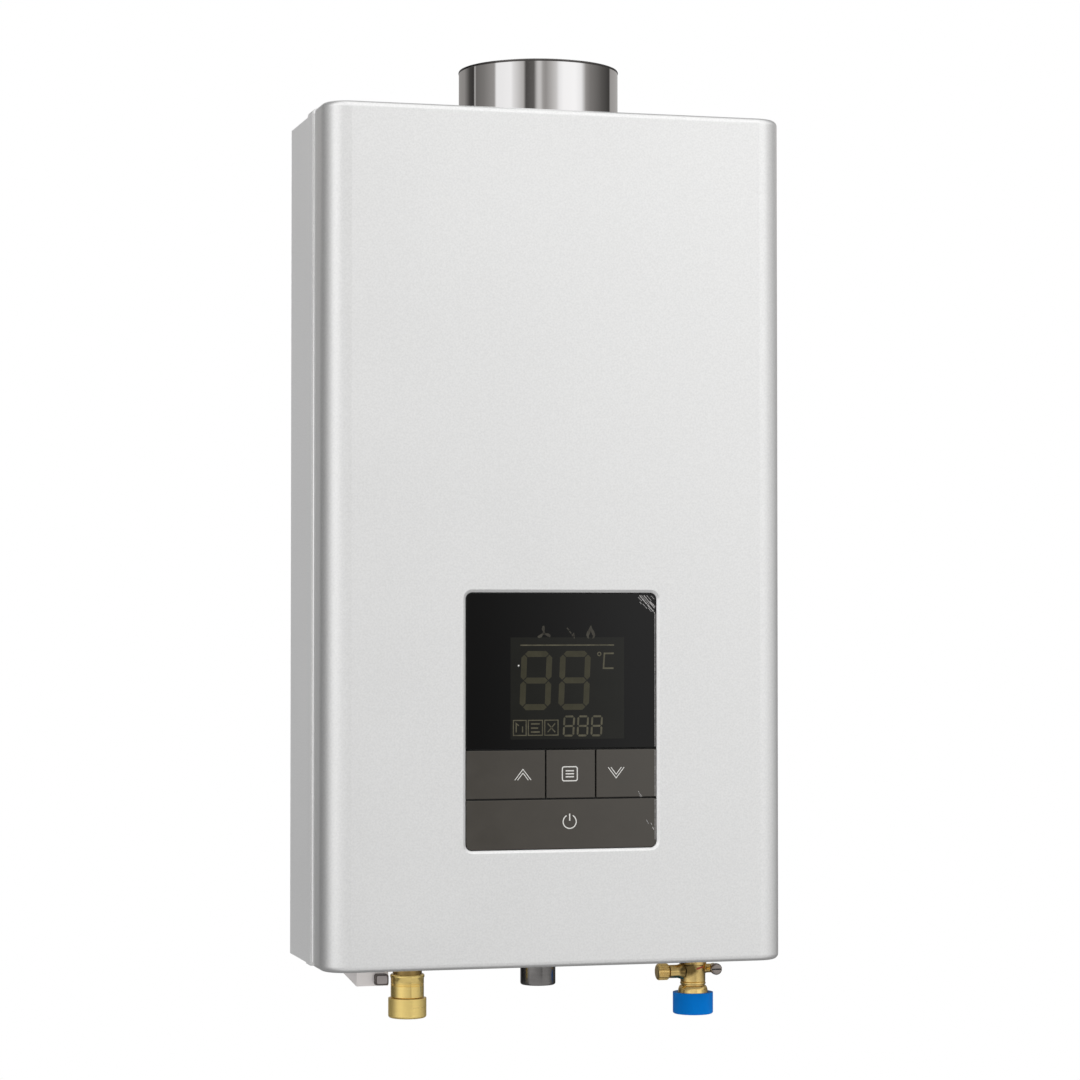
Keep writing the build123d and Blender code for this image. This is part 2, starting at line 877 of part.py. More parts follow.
def hot_outlet_nipple():
    flange_low = casing_bottom - fitting_flange_thickness
    lip_top = casing_bottom - hot_neck_start
    lip_low = lip_top - hot_lip_height
    outline = shank_outline(water_bore_radius)
    outline += [
        (shank_radius, flange_low),
        (shank_radius, lip_top),
        (hot_lip_radius, lip_top),
        (hot_lip_radius, lip_low),
        (hot_neck_radius, lip_low),
        (hot_neck_radius, hot_neck_end),
    ]
    return turned(hot_x, fitting_y, outline + thread_outline(hot_neck_end))


def screw_cap(x, radius, top, height, floor_top, edge):
    """A cup over a threaded end, with its lower edge rounded."""
    low = top - height
    bore = thread_radius + cap_gap
    outline = [(0, low), (radius, low), (radius, top), (bore, top), (bore, floor_top), (0, floor_top)]
    body = turned(x, fitting_y, outline)
    return fillet(body.edges().group_by(Axis.Z)[0], edge)


def hot_washer_top():
    return hot_neck_end - thread_length


def hot_outlet_cap():
    top = hot_neck_end - seam_gap
    floor_top = hot_washer_top() - cap_washer_thickness
    height = top - floor_top + hot_cap_floor
    return screw_cap(hot_x, hot_cap_radius, top, height, floor_top, hot_cap_edge)


def hot_cap_washer():
    top = hot_washer_top()
    low = top - cap_washer_thickness
    rim = thread_radius + cap_gap - cap_washer_gap
    ring = upright(rim, hot_x, fitting_y, low, top)
    return ring - upright(cap_washer_bore, hot_x, fitting_y, low, top)


def gas_inlet_socket():
    flange_low = casing_bottom - fitting_flange_thickness
    thread_top = gas_end + gas_thread_depth
    outline = shank_outline(gas_bore_radius)
    outline += [
        (gas_radius, flange_low),
        (gas_radius, gas_end + gas_chamfer),
        (gas_radius - gas_chamfer, gas_end),
        (gas_thread_radius, gas_end),
        (gas_thread_radius, thread_top),
        (gas_bore_radius, thread_top),
    ]
    return turned(gas_x, fitting_y, outline)


def cold_inlet_valve():
    flange_low = casing_bottom - fitting_flange_thickness
    neck_top = casing_bottom - cold_neck_start
    flare_top = cold_neck_end + cold_flare_height
    groove_top = flare_top + cold_groove_width
    outline = shank_outline(water_bore_radius)
    outline += [
        (cold_body_radius, flange_low),
        (cold_body_radius, neck_top),
        (cold_neck_radius, neck_top - (cold_body_radius - cold_neck_radius)),
        (cold_neck_radius, groove_top),
        (cold_neck_radius - cold_groove_depth, groove_top),
        (cold_neck_radius - cold_groove_depth, flare_top),
        (cold_flare_top_radius, flare_top),
        (cold_flare_radius, cold_neck_end + cold_flare_lip),
        (cold_flare_radius, cold_neck_end),
    ]
    body = turned(cold_x, fitting_y, outline + thread_outline(cold_neck_end))
    inside = water_bore_radius + (cold_neck_radius - water_bore_radius) / 2
    body += rod(branch_radius, (cold_x - inside, fitting_y, branch_z), (drain_face_x, fitting_y, branch_z))
    body += rod(relief_arm_radius, (cold_x + inside, fitting_y, relief_z), (relief_x, fitting_y, relief_z))
    body += Pos(relief_x, fitting_y, relief_z) * Sphere(relief_boss_radius)
    body += along_y(relief_boss_radius, relief_x, relief_z, relief_face_y, fitting_y)
    seat = spindle_radius + shaft_gap
    seat_end = (drain_face_x + spindle_length, fitting_y, branch_z)
    body -= rod(seat, (drain_face_x, fitting_y, branch_z), seat_end)
    return body - along_y(seat, relief_x, relief_z, relief_face_y, relief_face_y + spindle_length)


def cold_inlet_cap():
    top = cold_neck_end + cold_cap_sink
    floor_top = cold_neck_end - thread_length - seam_gap
    body = screw_cap(cold_x, cold_cap_radius, top, cold_cap_height, floor_top, cold_cap_edge)
    mouth = cold_flare_radius + hole_gap
    return body - upright(mouth, cold_x, fitting_y, cold_neck_end - seam_gap, top + overshoot)


def drain_knob():
    """A fluted knob on a spindle that screws into the left branch."""
    right = drain_face_x - knob_gap
    left = right - drain_knob_length
    body = rod(drain_knob_radius, (left, fitting_y, branch_z), (right, fitting_y, branch_z))
    body = fillet(body.edges().filter_by(GeomType.CIRCLE), drain_knob_edge)
    face = Plane(origin=(left - overshoot, fitting_y, branch_z), z_dir=(1, 0, 0))
    flutes = PolarLocations(drain_knob_radius, drain_flutes) * Circle(drain_flute_radius)
    body -= extrude(face * Sketch(children=flutes), amount=drain_knob_length + 2 * overshoot)
    spindle_end = drain_face_x + spindle_length - knob_gap
    return body + rod(spindle_radius, (right, fitting_y, branch_z), (spindle_end, fitting_y, branch_z))


def relief_screw():
    """A slotted round-headed screw in the right branch, facing the front."""
    back = relief_face_y - knob_gap
    front = back - relief_screw_height
    body = along_y(relief_screw_radius, relief_x, relief_z, front, back)
    body = fillet(body.edges().group_by(Axis.Y)[0], relief_screw_edge)
    body -= block(
        around(relief_x, 2 * relief_screw_radius),
        (front - overshoot, front + relief_slot_depth),
        around(relief_z, relief_slot_width),
    )
    return body + along_y(spindle_radius, relief_x, relief_z, back, back + spindle_length)


# Power inlet
def power_neck(grow, z_low):
    """The part of the inlet block that comes up through the casing floor."""
    x = around(power_x, power_width - 2 * power_neck_margin + 2 * grow)
    y = around(fitting_y + power_depth / 2, power_depth - 2 * power_neck_margin + 2 * grow)
    return block(x, y, (z_low, casing_floor + power_neck_height))


def bung_place():
    """Middle of the bung across and up, near the block's right-hand lower corner."""
    x = power_x + power_width / 2 - bung_inset - bung_width / 2
    z = casing_bottom - power_drop + bung_inset + bung_height / 2
    return x, z


def power_inlet_block():
    low = casing_bottom - power_drop
    front, back = fitting_y, fitting_y + power_depth
    side = Plane(origin=(power_x - power_width / 2, 0, 0), x_dir=(0, 1, 0), z_dir=(1, 0, 0))
    corners = [(front, casing_bottom), (front, low), (back, low + power_slope), (back, casing_bottom)]
    body = extrude(side * make_face(Polyline(*corners, close=True)), amount=power_width)
    body = fillet(body.edges().filter_by(Axis.Z), power_edge)
    body += power_neck(0, casing_bottom - sheet)
    x, z = bung_place()
    hole = plate(x, z, bung_width, bung_height, front - overshoot, front + bung_depth, bung_edge)
    return body - hole


def power_inlet_bung():
    x, z = bung_place()
    wide = bung_width - 2 * screw_gap
    tall = bung_height - 2 * screw_gap
    back = fitting_y + bung_depth - screw_gap
    return plate(x, z, wide, tall, fitting_y - bung_proud, back, bung_edge - screw_gap)


# Burner stack
def hood_solid(inset, z_low, z_high):
    depth = hood_back - hood_front - 2 * inset
    top = Pos(flue_x, flue_y, z_high) * Rectangle(hood_top_width - 2 * inset, depth)
    bottom = Pos(flue_x, flue_y, z_low) * Rectangle(stack_width - 2 * inset, stack_depth - 2 * inset)
    return loft([bottom, top], ruled=True)


def exhaust_hood():
    body = hood_solid(0, hood_bottom, casing_roof)
    body -= hood_solid(stack_sheet, hood_bottom, casing_roof - stack_sheet)
    body -= drill_up(flue_hole_radius, flue_x, flue_y, casing_roof - stack_sheet, casing_roof)
    for x, y in collar_screw_places():
        body -= drill_up(collar_screw_radius + screw_gap, x, y, casing_roof - stack_sheet, casing_roof)
    return body


def tube_holes(gap, x_low, x_high):
    """Clearance for the three passes of the water tube."""
    passes = (pass_front_y, flue_y, pass_back_y)
    return [rod(pipe_radius + gap, (x_low, y, exchanger_z), (x_high, y, exchanger_z)) for y in passes]


def heat_exchanger_shell():
    body = duct(exchanger_bottom, hood_bottom)
    for hole in tube_holes(fin_gap, stack_left - overshoot, stack_right + overshoot):
        body -= hole
    return body


def heat_exchanger_fins():
    first = stack_left + stack_sheet + fin_margin
    pitch = (stack_width - 2 * stack_sheet - 2 * fin_margin - fin_thickness) / (fin_count - 1)
    fin = block(
        (0, fin_thickness),
        (stack_front + stack_sheet + blade_end_gap, stack_back - stack_sheet - blade_end_gap),
        around(exchanger_z, fin_height),
    )
    for hole in tube_holes(fin_gap, -overshoot, fin_thickness + overshoot):
        fin -= hole
    return group([Pos(first + i * pitch, 0, 0) * fin for i in range(fin_count)])


def heat_exchanger_tube():
    """One tube through the fins three times, cold end right and hot end left."""
    bend = pass_pitch / 2
    points = [
        (tube_right, pass_front_y, exchanger_z),
        (tube_left - bend, pass_front_y, exchanger_z),
        (tube_left - bend, flue_y, exchanger_z),
        (tube_right + bend, flue_y, exchanger_z),
        (tube_right + bend, pass_back_y, exchanger_z),
        (tube_left, pass_back_y, exchanger_z),
    ]
    return pipe(points, pipe_radius, pipe_wall, bend - tube_bend_straight / 2)


def electrode_places():
    """Three electrodes in a row low in the front wall of the chamber."""
    z = chamber_bottom + electrode_rise
    return [(flue_x + i * electrode_spacing, z) for i in (-1, 0, 1)]


def combustion_chamber():
    body = duct(chamber_bottom, exchanger_bottom)
    for x, z in electrode_places():
        body -= drill_back(electrode_radius + screw_gap, x, z, stack_front, stack_front + stack_sheet)
    return body


def ignition_electrodes():
    electrodes = []
    for x, z in electrode_places():
        front = stack_front - electrode_flange_thickness
        back = stack_front + electrode_length / 2
        body = along_y(electrode_radius, x, z, back - electrode_length, back)
        body += along_y(electrode_flange_radius, x, z, front, stack_front)
        body += along_y(electrode_tip_radius, x, z, back, back + electrode_tip_length)
        electrodes.append(body)
    return group(electrodes)


def fan_outlet_x():
    left = fan_x - fan_radius
    return left, left + fan_outlet_width


def burner_box():
    body = duct(burner_bottom, chamber_bottom)
    body += block((stack_left, stack_right), (stack_front, stack_back), (burner_bottom, burner_floor))
    left, right = fan_outlet_x()
    body -= block(
        (left + stack_sheet, right - stack_sheet),
        (fan_front + stack_sheet, fan_back - stack_sheet),
        (burner_bottom - overshoot, burner_floor + overshoot),
    )
    return body - drill_up(gas_pipe_radius + screw_gap, gas_run_x, manifold_y, burner_bottom, burner_floor)


def blade_middles():
    first = stack_left + stack_sheet + blade_pitch / 2
    return [first + i * blade_pitch for i in range(blade_count)]


def burner_blades():
    """A row of slim burner bodies, each held by its ends between the box walls."""
    y = (stack_front + stack_sheet + blade_end_gap, stack_back - stack_sheet - blade_end_gap)
    z = (blade_bottom, blade_bottom + blade_height)
    blade = block(around(0, blade_thickness), y, z)
    blade = fillet(blade.edges().filter_by(Axis.Y).group_by(Axis.Z)[-1], blade_edge)
    return group([Pos(x, 0, 0) * blade for x in blade_middles()])


def gas_manifold():
    x = (stack_left + stack_sheet + blade_end_gap, stack_right - stack_sheet - blade_end_gap)
    body = block(x, around(manifold_y, manifold_size), (burner_floor, manifold_top))
    for middle in blade_middles():
        body += upright(nozzle_radius, middle, manifold_y, manifold_top, manifold_top + nozzle_height)
    return body


def stack_brackets():
    """Four blocks of folded sheet that carry the stack from the back panel."""
    brackets = []
    for x in (stack_left + bracket_width / 2, stack_right - bracket_width / 2):
        for z in (chamber_bottom, exchanger_bottom):
            y = (stack_back, casing_rear_wall)
            outer = block(around(x, bracket_width), y, around(z, bracket_height))
            inner_width = bracket_width - 2 * bracket_sheet
            inner_y = (stack_back + bracket_sheet, casing_rear_wall - bracket_sheet)
            inner = block(around(x, inner_width), inner_y, around(z, bracket_height + overshoot))
            brackets.append(outer - inner)
    return group(brackets)


def overheat_thermostat():
    """A bimetal switch on the left wall of the exchanger, behind the tube's end."""
    y = flue_y
    z = exchanger_bottom + thermostat_radius
    left = stack_left - thermostat_height
    body = rod(thermostat_radius, (left, y, z), (stack_left, y, z))
    return body + rod(thermostat_pin_radius, (left - thermostat_pin_length, y, z), (left, y, z))


# Gas supply
def gas_valve_body():
    body = block(around(gas_x, valve_width), around(fitting_y, valve_depth), (fitting_top, valve_top))
    body = fillet(body.edges().filter_by(Axis.Z), valve_edge)
    bore_top = fitting_top + valve_height / 2
    return body - upright(gas_bore_radius, gas_x, fitting_y, fitting_top - overshoot, bore_top)


def gas_valve_coils():
    places = (gas_x - coil_spacing / 2, gas_x + coil_spacing / 2)
    return group([upright(coil_radius, x, fitting_y, valve_top, coil_top) for x in places])


def gas_pipe():
    z = fitting_top + valve_height / 2
    points = [
        (gas_x + valve_width / 2, fitting_y, z),
        (gas_run_x, fitting_y, z),
        (gas_run_x, fitting_y, z + gas_lift),
        (gas_run_x, manifold_y, z + 2 * gas_lift),
        (gas_run_x, manifold_y, burner_floor),
    ]
    return pipe(points, gas_pipe_radius, pipe_wall, gas_turn)


# Fan
def scroll(inset):
    """Outline of the fan housing, a round scroll with its outlet going up on the left."""
    left, right = fan_outlet_x()
    width = right - left - 2 * inset
    middle = (left + right) / 2 - fan_x
    outlet = Pos(middle, fan_drop / 2) * Rectangle(width, fan_drop)
    return Circle(fan_radius - inset) + outlet


def fan_housing():
    body = extrude(upright_plane(fan_x, fan_back, fan_z) * scroll(0), amount=fan_width)
    hollow = upright_plane(fan_x, fan_back - stack_sheet, fan_z) * scroll(stack_sheet)
    body -= extrude(hollow, amount=fan_width - 2 * stack_sheet)
    body -= drill_back(fan_inlet_radius, fan_x, fan_z, fan_front, fan_front + stack_sheet)
    body -= drill_back(fan_shaft_hole, fan_x, fan_z, fan_back - stack_sheet, fan_back)
    return body


def fan_impeller():
    """A drum of straight blades on a hub, with the shaft that runs in the motor."""
    ring_back = impeller_front + impeller_plate
    body = along_y(impeller_radius, fan_x, fan_z, impeller_back - impeller_plate, impeller_back)
    ring = along_y(impeller_radius, fan_x, fan_z, impeller_front, ring_back)
    body += ring - drill_back(impeller_radius - impeller_depth, fan_x, fan_z, impeller_front, ring_back)
    blades = PolarLocations(impeller_radius - impeller_depth / 2, impeller_blades) * Rectangle(
        impeller_depth - impeller_blade_thickness, impeller_blade_thickness
    )
    face = upright_plane(fan_x, impeller_back, fan_z)
    body += extrude(face * Sketch(children=blades), amount=impeller_back - impeller_front)
    body += along_y(hub_radius, fan_x, fan_z, impeller_back - hub_radius, impeller_back)
    return body + along_y(shaft_radius, fan_x, fan_z, impeller_back, fan_back + shaft_engagement)


def fan_motor():
    body = along_y(motor_radius, fan_x, fan_z, fan_back, fan_back + motor_length)
    body = fillet(body.edges().group_by(Axis.Y)[-1], motor_edge)
    bore_end = fan_back + shaft_engagement + knob_gap
    return body - along_y(shaft_radius + shaft_gap, fan_x, fan_z, fan_back, bore_end)


def fan_posts():
    """Posts that carry the fan housing from the back panel."""
    posts = []
    for place in PolarLocations(post_circle_radius, post_count):
        x, z = fan_x + place.position.X, fan_z + place.position.Y
        posts.append(along_y(post_radius, x, z, fan_back, casing_rear_wall))
    return group(posts)


# Water way
def cold_pipe():
    points = [
        (cold_x, fitting_y, sensor_top),
        (cold_x, fitting_y, jog_low),
        (run_right, pass_front_y, jog_high),
        (run_right, pass_front_y, exchanger_z),
        (tube_right, pass_front_y, exchanger_z),
    ]
    return pipe(points, pipe_radius, pipe_wall, pipe_bend)


def hot_pipe():
    points = [
        (tube_left, pass_back_y, exchanger_z),
        (run_left, pass_back_y, exchanger_z),
        (run_left, pass_back_y, jog_high),
        (hot_x, fitting_y, jog_low),
        (hot_x, fitting_y, fitting_top),
    ]
    return pipe(points, pipe_radius, pipe_wall, pipe_bend)


def spider(z_low):
    """A cross in the sensor's bore with a bearing for the turbine."""
    middle_z = z_low + spider_thickness / 2
    body = upright(spider_boss, cold_x, fitting_y, z_low, z_low + spider_thickness)
    for wide, deep in ((2 * sensor_bore, spider_arm), (spider_arm, 2 * sensor_bore)):
        body += Pos(cold_x, fitting_y, middle_z) * Box(wide, deep, spider_thickness)
    return body


def flow_sensor_body():
    body = upright(sensor_radius, cold_x, fitting_y, sensor_bottom, sensor_top)
    body -= upright(sensor_bore, cold_x, fitting_y, sensor_bottom - overshoot, sensor_top + overshoot)
    keep = upright((sensor_radius + sensor_bore) / 2, cold_x, fitting_y, sensor_bottom, sensor_top)
    for z_low in (spider_low, spider_high):
        body += spider(z_low) & keep
    seat = turbine_shaft_radius + shaft_gap
    body -= upright(seat, cold_x, fitting_y, sensor_bottom, sensor_top)
    low = sensor_top - pipe_wall
    ring = upright(sensor_bore + overshoot, cold_x, fitting_y, low, sensor_top)
    return body + ring - drill_up(pipe_radius - pipe_wall, cold_x, fitting_y, low, sensor_top)


def flow_turbine():
    body = upright(turbine_hub, cold_x, fitting_y, turbine_bottom, turbine_top)
    middle_z = (turbine_bottom + turbine_top) / 2
    for i in range(turbine_vanes):
        vane = Pos(turbine_radius / 2, 0, 0) * Box(turbine_radius, turbine_vane_thickness, turbine_length)
        body += Pos(cold_x, fitting_y, middle_z) * Rot(0, 0, i * 360 / turbine_vanes) * vane
    rim = upright(turbine_radius, cold_x, fitting_y, turbine_bottom, turbine_top)
    shaft_low = spider_low
    shaft_high = spider_high + spider_thickness
    return (body & rim) + upright(turbine_shaft_radius, cold_x, fitting_y, shaft_low, shaft_high)


# Controls
def control_box():
    y = (control_front, casing_rear_wall)
    body = block((control_left, control_right), y, (control_bottom, control_top))
    body -= block(
        (control_left + control_wall, control_right - control_wall),
        (control_front - overshoot, casing_rear_wall - control_wall),
        (control_bottom + control_wall, control_top - control_wall),
    )
    for x in (control_left + 2 * control_boss, control_right - 2 * control_boss):
        for z in (control_bottom + 2 * control_boss, control_top - 2 * control_boss):
            body += along_y(control_boss / 2, x, z, control_board_y, casing_rear_wall - control_wall)
    return body


def control_board():
    margin = control_wall + board_gap
    return block(
        (control_left + margin, control_right - margin),
        (control_board_y - board_thickness, control_board_y),
        (control_bottom + margin, control_top - margin),
    )


def control_parts():
    """A transformer, two relays and two capacitors standing on the board."""
    y_back = control_board_y - board_thickness
    y = (y_back - control_part_height, y_back)
    middle = (control_left + control_right) / 2
    quarter = (control_top - control_bottom) / 4
    transformer_z = around(control_bottom + quarter, transformer_size)
    parts = [block(around(middle, transformer_size), y, transformer_z)]
    for i in (-1, 1):
        x = middle + i * relay_spacing / 2
        parts.append(block(around(x, relay_size), y, around(control_bottom + 2 * quarter, relay_size)))
        parts.append(along_y(capacitor_radius, x, control_bottom + 3 * quarter, *y))
    return group(parts)


def control_lid():
    y = (control_front - control_lid_thickness, control_front)
    return block((control_left, control_right), y, (control_bottom, control_top))


def igniter_module():
    y = (casing_rear_wall - igniter_depth, casing_rear_wall)
    body = block((igniter_left, igniter_right), y, (igniter_bottom, igniter_bottom + igniter_height))
    return fillet(body.edges().filter_by(Axis.Y), igniter_edge)


pieces = {
    "rear_casing": rear_casing,
    "front_cover": front_cover,
    "cover_screws": cover_screws,
    "bracket_rivets": bracket_rivets,
    "flue_collar": flue_collar,
    "flue_gasket": flue_gasket,
    "collar_screws": collar_screws,
    "display_window": display_window,
    "panel_tray": panel_tray,
    "panel_screws": panel_screws,
    "panel_lid": panel_lid,
    "display_board": display_board,
    "display_module": display_module,
    "button_switches": button_switches,
    "lock_nuts": lock_nuts,
    "hot_outlet_nipple": hot_outlet_nipple,
    "hot_outlet_cap": hot_outlet_cap,
    "hot_cap_washer": hot_cap_washer,
    "gas_inlet_socket": gas_inlet_socket,
    "cold_inlet_valve": cold_inlet_valve,
    "cold_inlet_cap": cold_inlet_cap,
    "drain_knob": drain_knob,
    "relief_screw": relief_screw,
    "power_inlet_block": power_inlet_block,
    "power_inlet_bung": power_inlet_bung,
    "exhaust_hood": exhaust_hood,
    "heat_exchanger_shell": heat_exchanger_shell,
    "heat_exchanger_fins": heat_exchanger_fins,
    "heat_exchanger_tube": heat_exchanger_tube,
    "combustion_chamber": combustion_chamber,
    "ignition_electrodes": ignition_electrodes,
    "burner_box": burner_box,
    "burner_blades": burner_blades,
    "gas_manifold": gas_manifold,
    "stack_brackets": stack_brackets,
    "overheat_thermostat": overheat_thermostat,
    "gas_valve_body": gas_valve_body,
    "gas_valve_coils": gas_valve_coils,
    "gas_pipe": gas_pipe,
    "fan_housing": fan_housing,
    "fan_impeller": fan_impeller,
    "fan_motor": fan_motor,
    "fan_posts": fan_posts,
    "cold_pipe": cold_pipe,
    "hot_pipe": hot_pipe,
    "flow_sensor_body": flow_sensor_body,
    "flow_turbine": flow_turbine,
    "control_box": control_box,
    "control_board": control_board,
    "control_parts": control_parts,
    "control_lid": control_lid,
    "igniter_module": igniter_module,
}


def all_pieces():
    """Every piece of the heater by name."""
    made = {name: make() for name, make in pieces.items()}
    made["wall_bracket_top"] = wall_bracket(1)
    made["wall_bracket_bottom"] = wall_bracket(-1)
    for name in key_spans():
        made[name] = key(name)
    return made


os.makedirs("parts", exist_ok=True)
for name, shape in all_pieces().items():
    export_step(shape, f"parts/{name}.step")
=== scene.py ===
import bmesh
import bpy
import json
import math
from mathutils import Matrix, Vector


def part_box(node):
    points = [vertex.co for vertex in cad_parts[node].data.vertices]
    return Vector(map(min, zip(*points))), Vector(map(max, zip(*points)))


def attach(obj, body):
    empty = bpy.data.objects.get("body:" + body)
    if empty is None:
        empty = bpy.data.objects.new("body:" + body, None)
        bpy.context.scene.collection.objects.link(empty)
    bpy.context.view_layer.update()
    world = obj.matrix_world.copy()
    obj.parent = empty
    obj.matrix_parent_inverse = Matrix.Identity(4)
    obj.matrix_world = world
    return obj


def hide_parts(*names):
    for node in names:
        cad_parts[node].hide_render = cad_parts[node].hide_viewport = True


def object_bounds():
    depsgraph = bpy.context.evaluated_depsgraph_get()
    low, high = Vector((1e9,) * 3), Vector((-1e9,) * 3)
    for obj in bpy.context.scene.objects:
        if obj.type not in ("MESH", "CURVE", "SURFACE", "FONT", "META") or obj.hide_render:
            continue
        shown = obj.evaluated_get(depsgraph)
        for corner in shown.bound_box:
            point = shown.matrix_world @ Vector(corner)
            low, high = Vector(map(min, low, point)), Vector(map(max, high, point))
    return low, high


# Wall-hung gas water heater in the frame of the solids: front at -Y, wall at y = 0, +Z up.
# Blender works in metres. Shapes are drawn in millimetres and brought to metres by MM.
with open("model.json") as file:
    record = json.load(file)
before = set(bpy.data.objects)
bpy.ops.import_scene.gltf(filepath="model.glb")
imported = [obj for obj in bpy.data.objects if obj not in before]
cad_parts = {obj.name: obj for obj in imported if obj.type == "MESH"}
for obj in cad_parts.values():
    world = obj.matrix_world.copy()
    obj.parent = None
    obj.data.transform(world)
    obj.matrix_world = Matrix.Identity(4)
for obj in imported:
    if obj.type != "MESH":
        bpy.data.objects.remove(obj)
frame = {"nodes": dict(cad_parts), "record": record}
cad_low, cad_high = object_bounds()
scene = bpy.context.scene
MM = 0.001


# Places and sizes of the solids, in millimetres
def box_mm(node):
    """Lowest and highest corner of a solid's box."""
    low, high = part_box(node)
    return low / MM, high / MM


def middle(node):
    low, high = box_mm(node)
    return (low + high) / 2


def top_left(node):
    """The upper left corner of a solid's front face, from which marks on that face are placed."""
    low, high = box_mm(node)
    return Vector((low.x, low.y, high.z))


cover_low, cover_high = box_mm("front_cover")
RIM_STEP = 1.3
COVER_SIDE_DEPTH = 40.0
pan_half_width = cover_high.x - RIM_STEP
pan_half_height = cover_high.z
seam_y = cover_low.y + COVER_SIDE_DEPTH

hot_x, fitting_y, _ = middle("hot_outlet_nipple")
gas_x = middle("gas_inlet_socket").x
cold_x = middle("cold_inlet_cap").x
fitting_top = box_mm("hot_outlet_nipple")[1].z
casing_under = box_mm("rear_casing")[0].z
FLANGE_THICKNESS = 2.0
flange_under = casing_under - FLANGE_THICKNESS
# Radii of the fittings, and their half-inch pipe thread
SHANK, FLANGE, WATER_BORE = 10.45, 12.6, 7.0
THREAD_PITCH, THREAD_CREST, THREAD_ROOT, THREAD_REACH = 1.814, 10.45, 9.35, 9.7
# The drain branch and the relief arm of the cold inlet
branch_z = middle("drain_knob").z
relief_x = middle("relief_screw").x
RELIEF_LIFT = 1.6
relief_z = branch_z + RELIEF_LIFT


# Shader parts
NOISE_RANGE = (0.3, 0.7)  # where nearly all values of a noise texture lie
CLOUD_DETAIL, GRAIN_DETAIL = 4, 2
materials = {}  # by name


def new_material(name):
    """An empty material, kept under its name, with its nodes, its links and its main shader."""
    mat = bpy.data.materials.new(name)
    materials[name] = mat
    mat.use_nodes = True
    nodes = mat.node_tree.nodes
    return mat, nodes, mat.node_tree.links, nodes["Principled BSDF"]


def object_noise(nodes, links, scale, detail, stretch=(1, 1, 1)):
    """Noise in the object's own coordinates, stretched along an axis where asked."""
    place = nodes.new("ShaderNodeTexCoord")
    turn = nodes.new("ShaderNodeMapping")
    turn.inputs["Scale"].default_value = stretch
    noise = nodes.new("ShaderNodeTexNoise")
    noise.inputs["Scale"].default_value = scale
    noise.inputs["Detail"].default_value = detail
    links.new(place.outputs["Object"], turn.inputs["Vector"])
    links.new(turn.outputs["Vector"], noise.inputs["Vector"])
    return noise.outputs["Fac"]


def map_range(nodes, links, value, source, target=(0.0, 1.0)):
    """Carries a value from one range over to another."""
    step = nodes.new("ShaderNodeMapRange")
    for socket, end in zip(("From Min", "From Max", "To Min", "To Max"), (*source, *target)):
        step.inputs[socket].default_value = end
    links.new(value, step.inputs["Value"])
    return step.outputs["Result"]


def mixed(nodes, links, factor, first, second, how="MIX"):
    """Colour mix; a colour that is a plain tuple is set on the socket, anything else is linked."""
    mix = nodes.new("ShaderNodeMix")
    mix.data_type = "RGBA"
    mix.blend_type = how
    for socket, value in ((mix.inputs["Factor"], factor), (mix.inputs[6], first), (mix.inputs[7], second)):
        if isinstance(value, (tuple, list, float)):
            socket.default_value = value
        else:
            links.new(value, socket)
    return mix.outputs[2]


def math_node(nodes, links, operation, *values):
    """A step of arithmetic; a plain number is set on its socket, anything else is linked."""
    node = nodes.new("ShaderNodeMath")
    node.operation = operation
    for socket, value in zip(node.inputs, values):
        if isinstance(value, float):
            socket.default_value = value
        else:
            links.new(value, socket)
    return node.outputs[0]


def grey(level):
    return (level, level, level, 1)


def grey_from(nodes, links, value):
    colour = nodes.new("ShaderNodeCombineColor")
    for channel in ("Red", "Green", "Blue"):
        links.new(value, colour.inputs[channel])
    return colour.outputs["Color"]


# Materials
LACQUER_ROUGHNESS, PAINT_ROUGHNESS = 0.08, 0.20  # of the clear coat on top
FLAKE_SCALE, FLAKE_LEVELS = 800, (0.95, 1.04)
# Painted shade on the cold inlet, a dark patch high on its left: its middle, and where it is fullest and
# where it ends
SHADE_PATCH_MIDDLE = (cold_x - 6.3, fitting_y - 7.0, branch_z + 2.7)
SHADE_PATCH_RADII = (3.0, 8.5)
SHADE_PATCH_NOISE_SCALE, SHADE_PATCH_NOISE_DETAIL = 160, 3
SHADE_PATCH_PUSH = (0.35, -0.25)  # added to the noise at those two radii
SHADE_PATCH_THRESHOLD, SHADE_PATCH_STRENGTH = (0.42, 0.70), 0.90
SHADE_PATCH_COLOUR = (0.12, 0.075, 0.025, 1)


def surface(name, colour, rough, metal=0.0, coat=0.0, tint=0.05, tint_scale=40, rough_spread=0.05,
            grain=0.0, grain_scale=900, grain_depth=0.02, stretch=(1, 1, 1), specular=0.5):
    """A shader whose colour, gloss and fine relief all vary a little over the surface."""
    mat, nodes, links, bsdf = new_material(name)
    bsdf.inputs["Metallic"].default_value = metal
    bsdf.inputs["Coat Weight"].default_value = coat
    bsdf.inputs["Coat Roughness"].default_value = LACQUER_ROUGHNESS
    bsdf.inputs["Specular IOR Level"].default_value = specular
    cloud = object_noise(nodes, links, tint_scale, CLOUD_DETAIL, stretch)
    dark = [c * (1 - tint) for c in colour] + [1]
    light = [min(1, c * (1 + tint)) for c in colour] + [1]
    base = mixed(nodes, links, map_range(nodes, links, cloud, NOISE_RANGE), dark, light)
    gloss = map_range(nodes, links, cloud, NOISE_RANGE, (rough - rough_spread, rough + rough_spread))
    links.new(base, bsdf.inputs["Base Color"])
    links.new(gloss, bsdf.inputs["Roughness"])
    if grain:
        bump = nodes.new("ShaderNodeBump")
        bump.inputs["Strength"].default_value = grain
        bump.inputs["Distance"].default_value = grain_depth * MM
        links.new(object_noise(nodes, links, grain_scale, GRAIN_DETAIL, stretch), bump.inputs["Height"])
        links.new(bump.outputs["Normal"], bsdf.inputs["Normal"])
    return mat


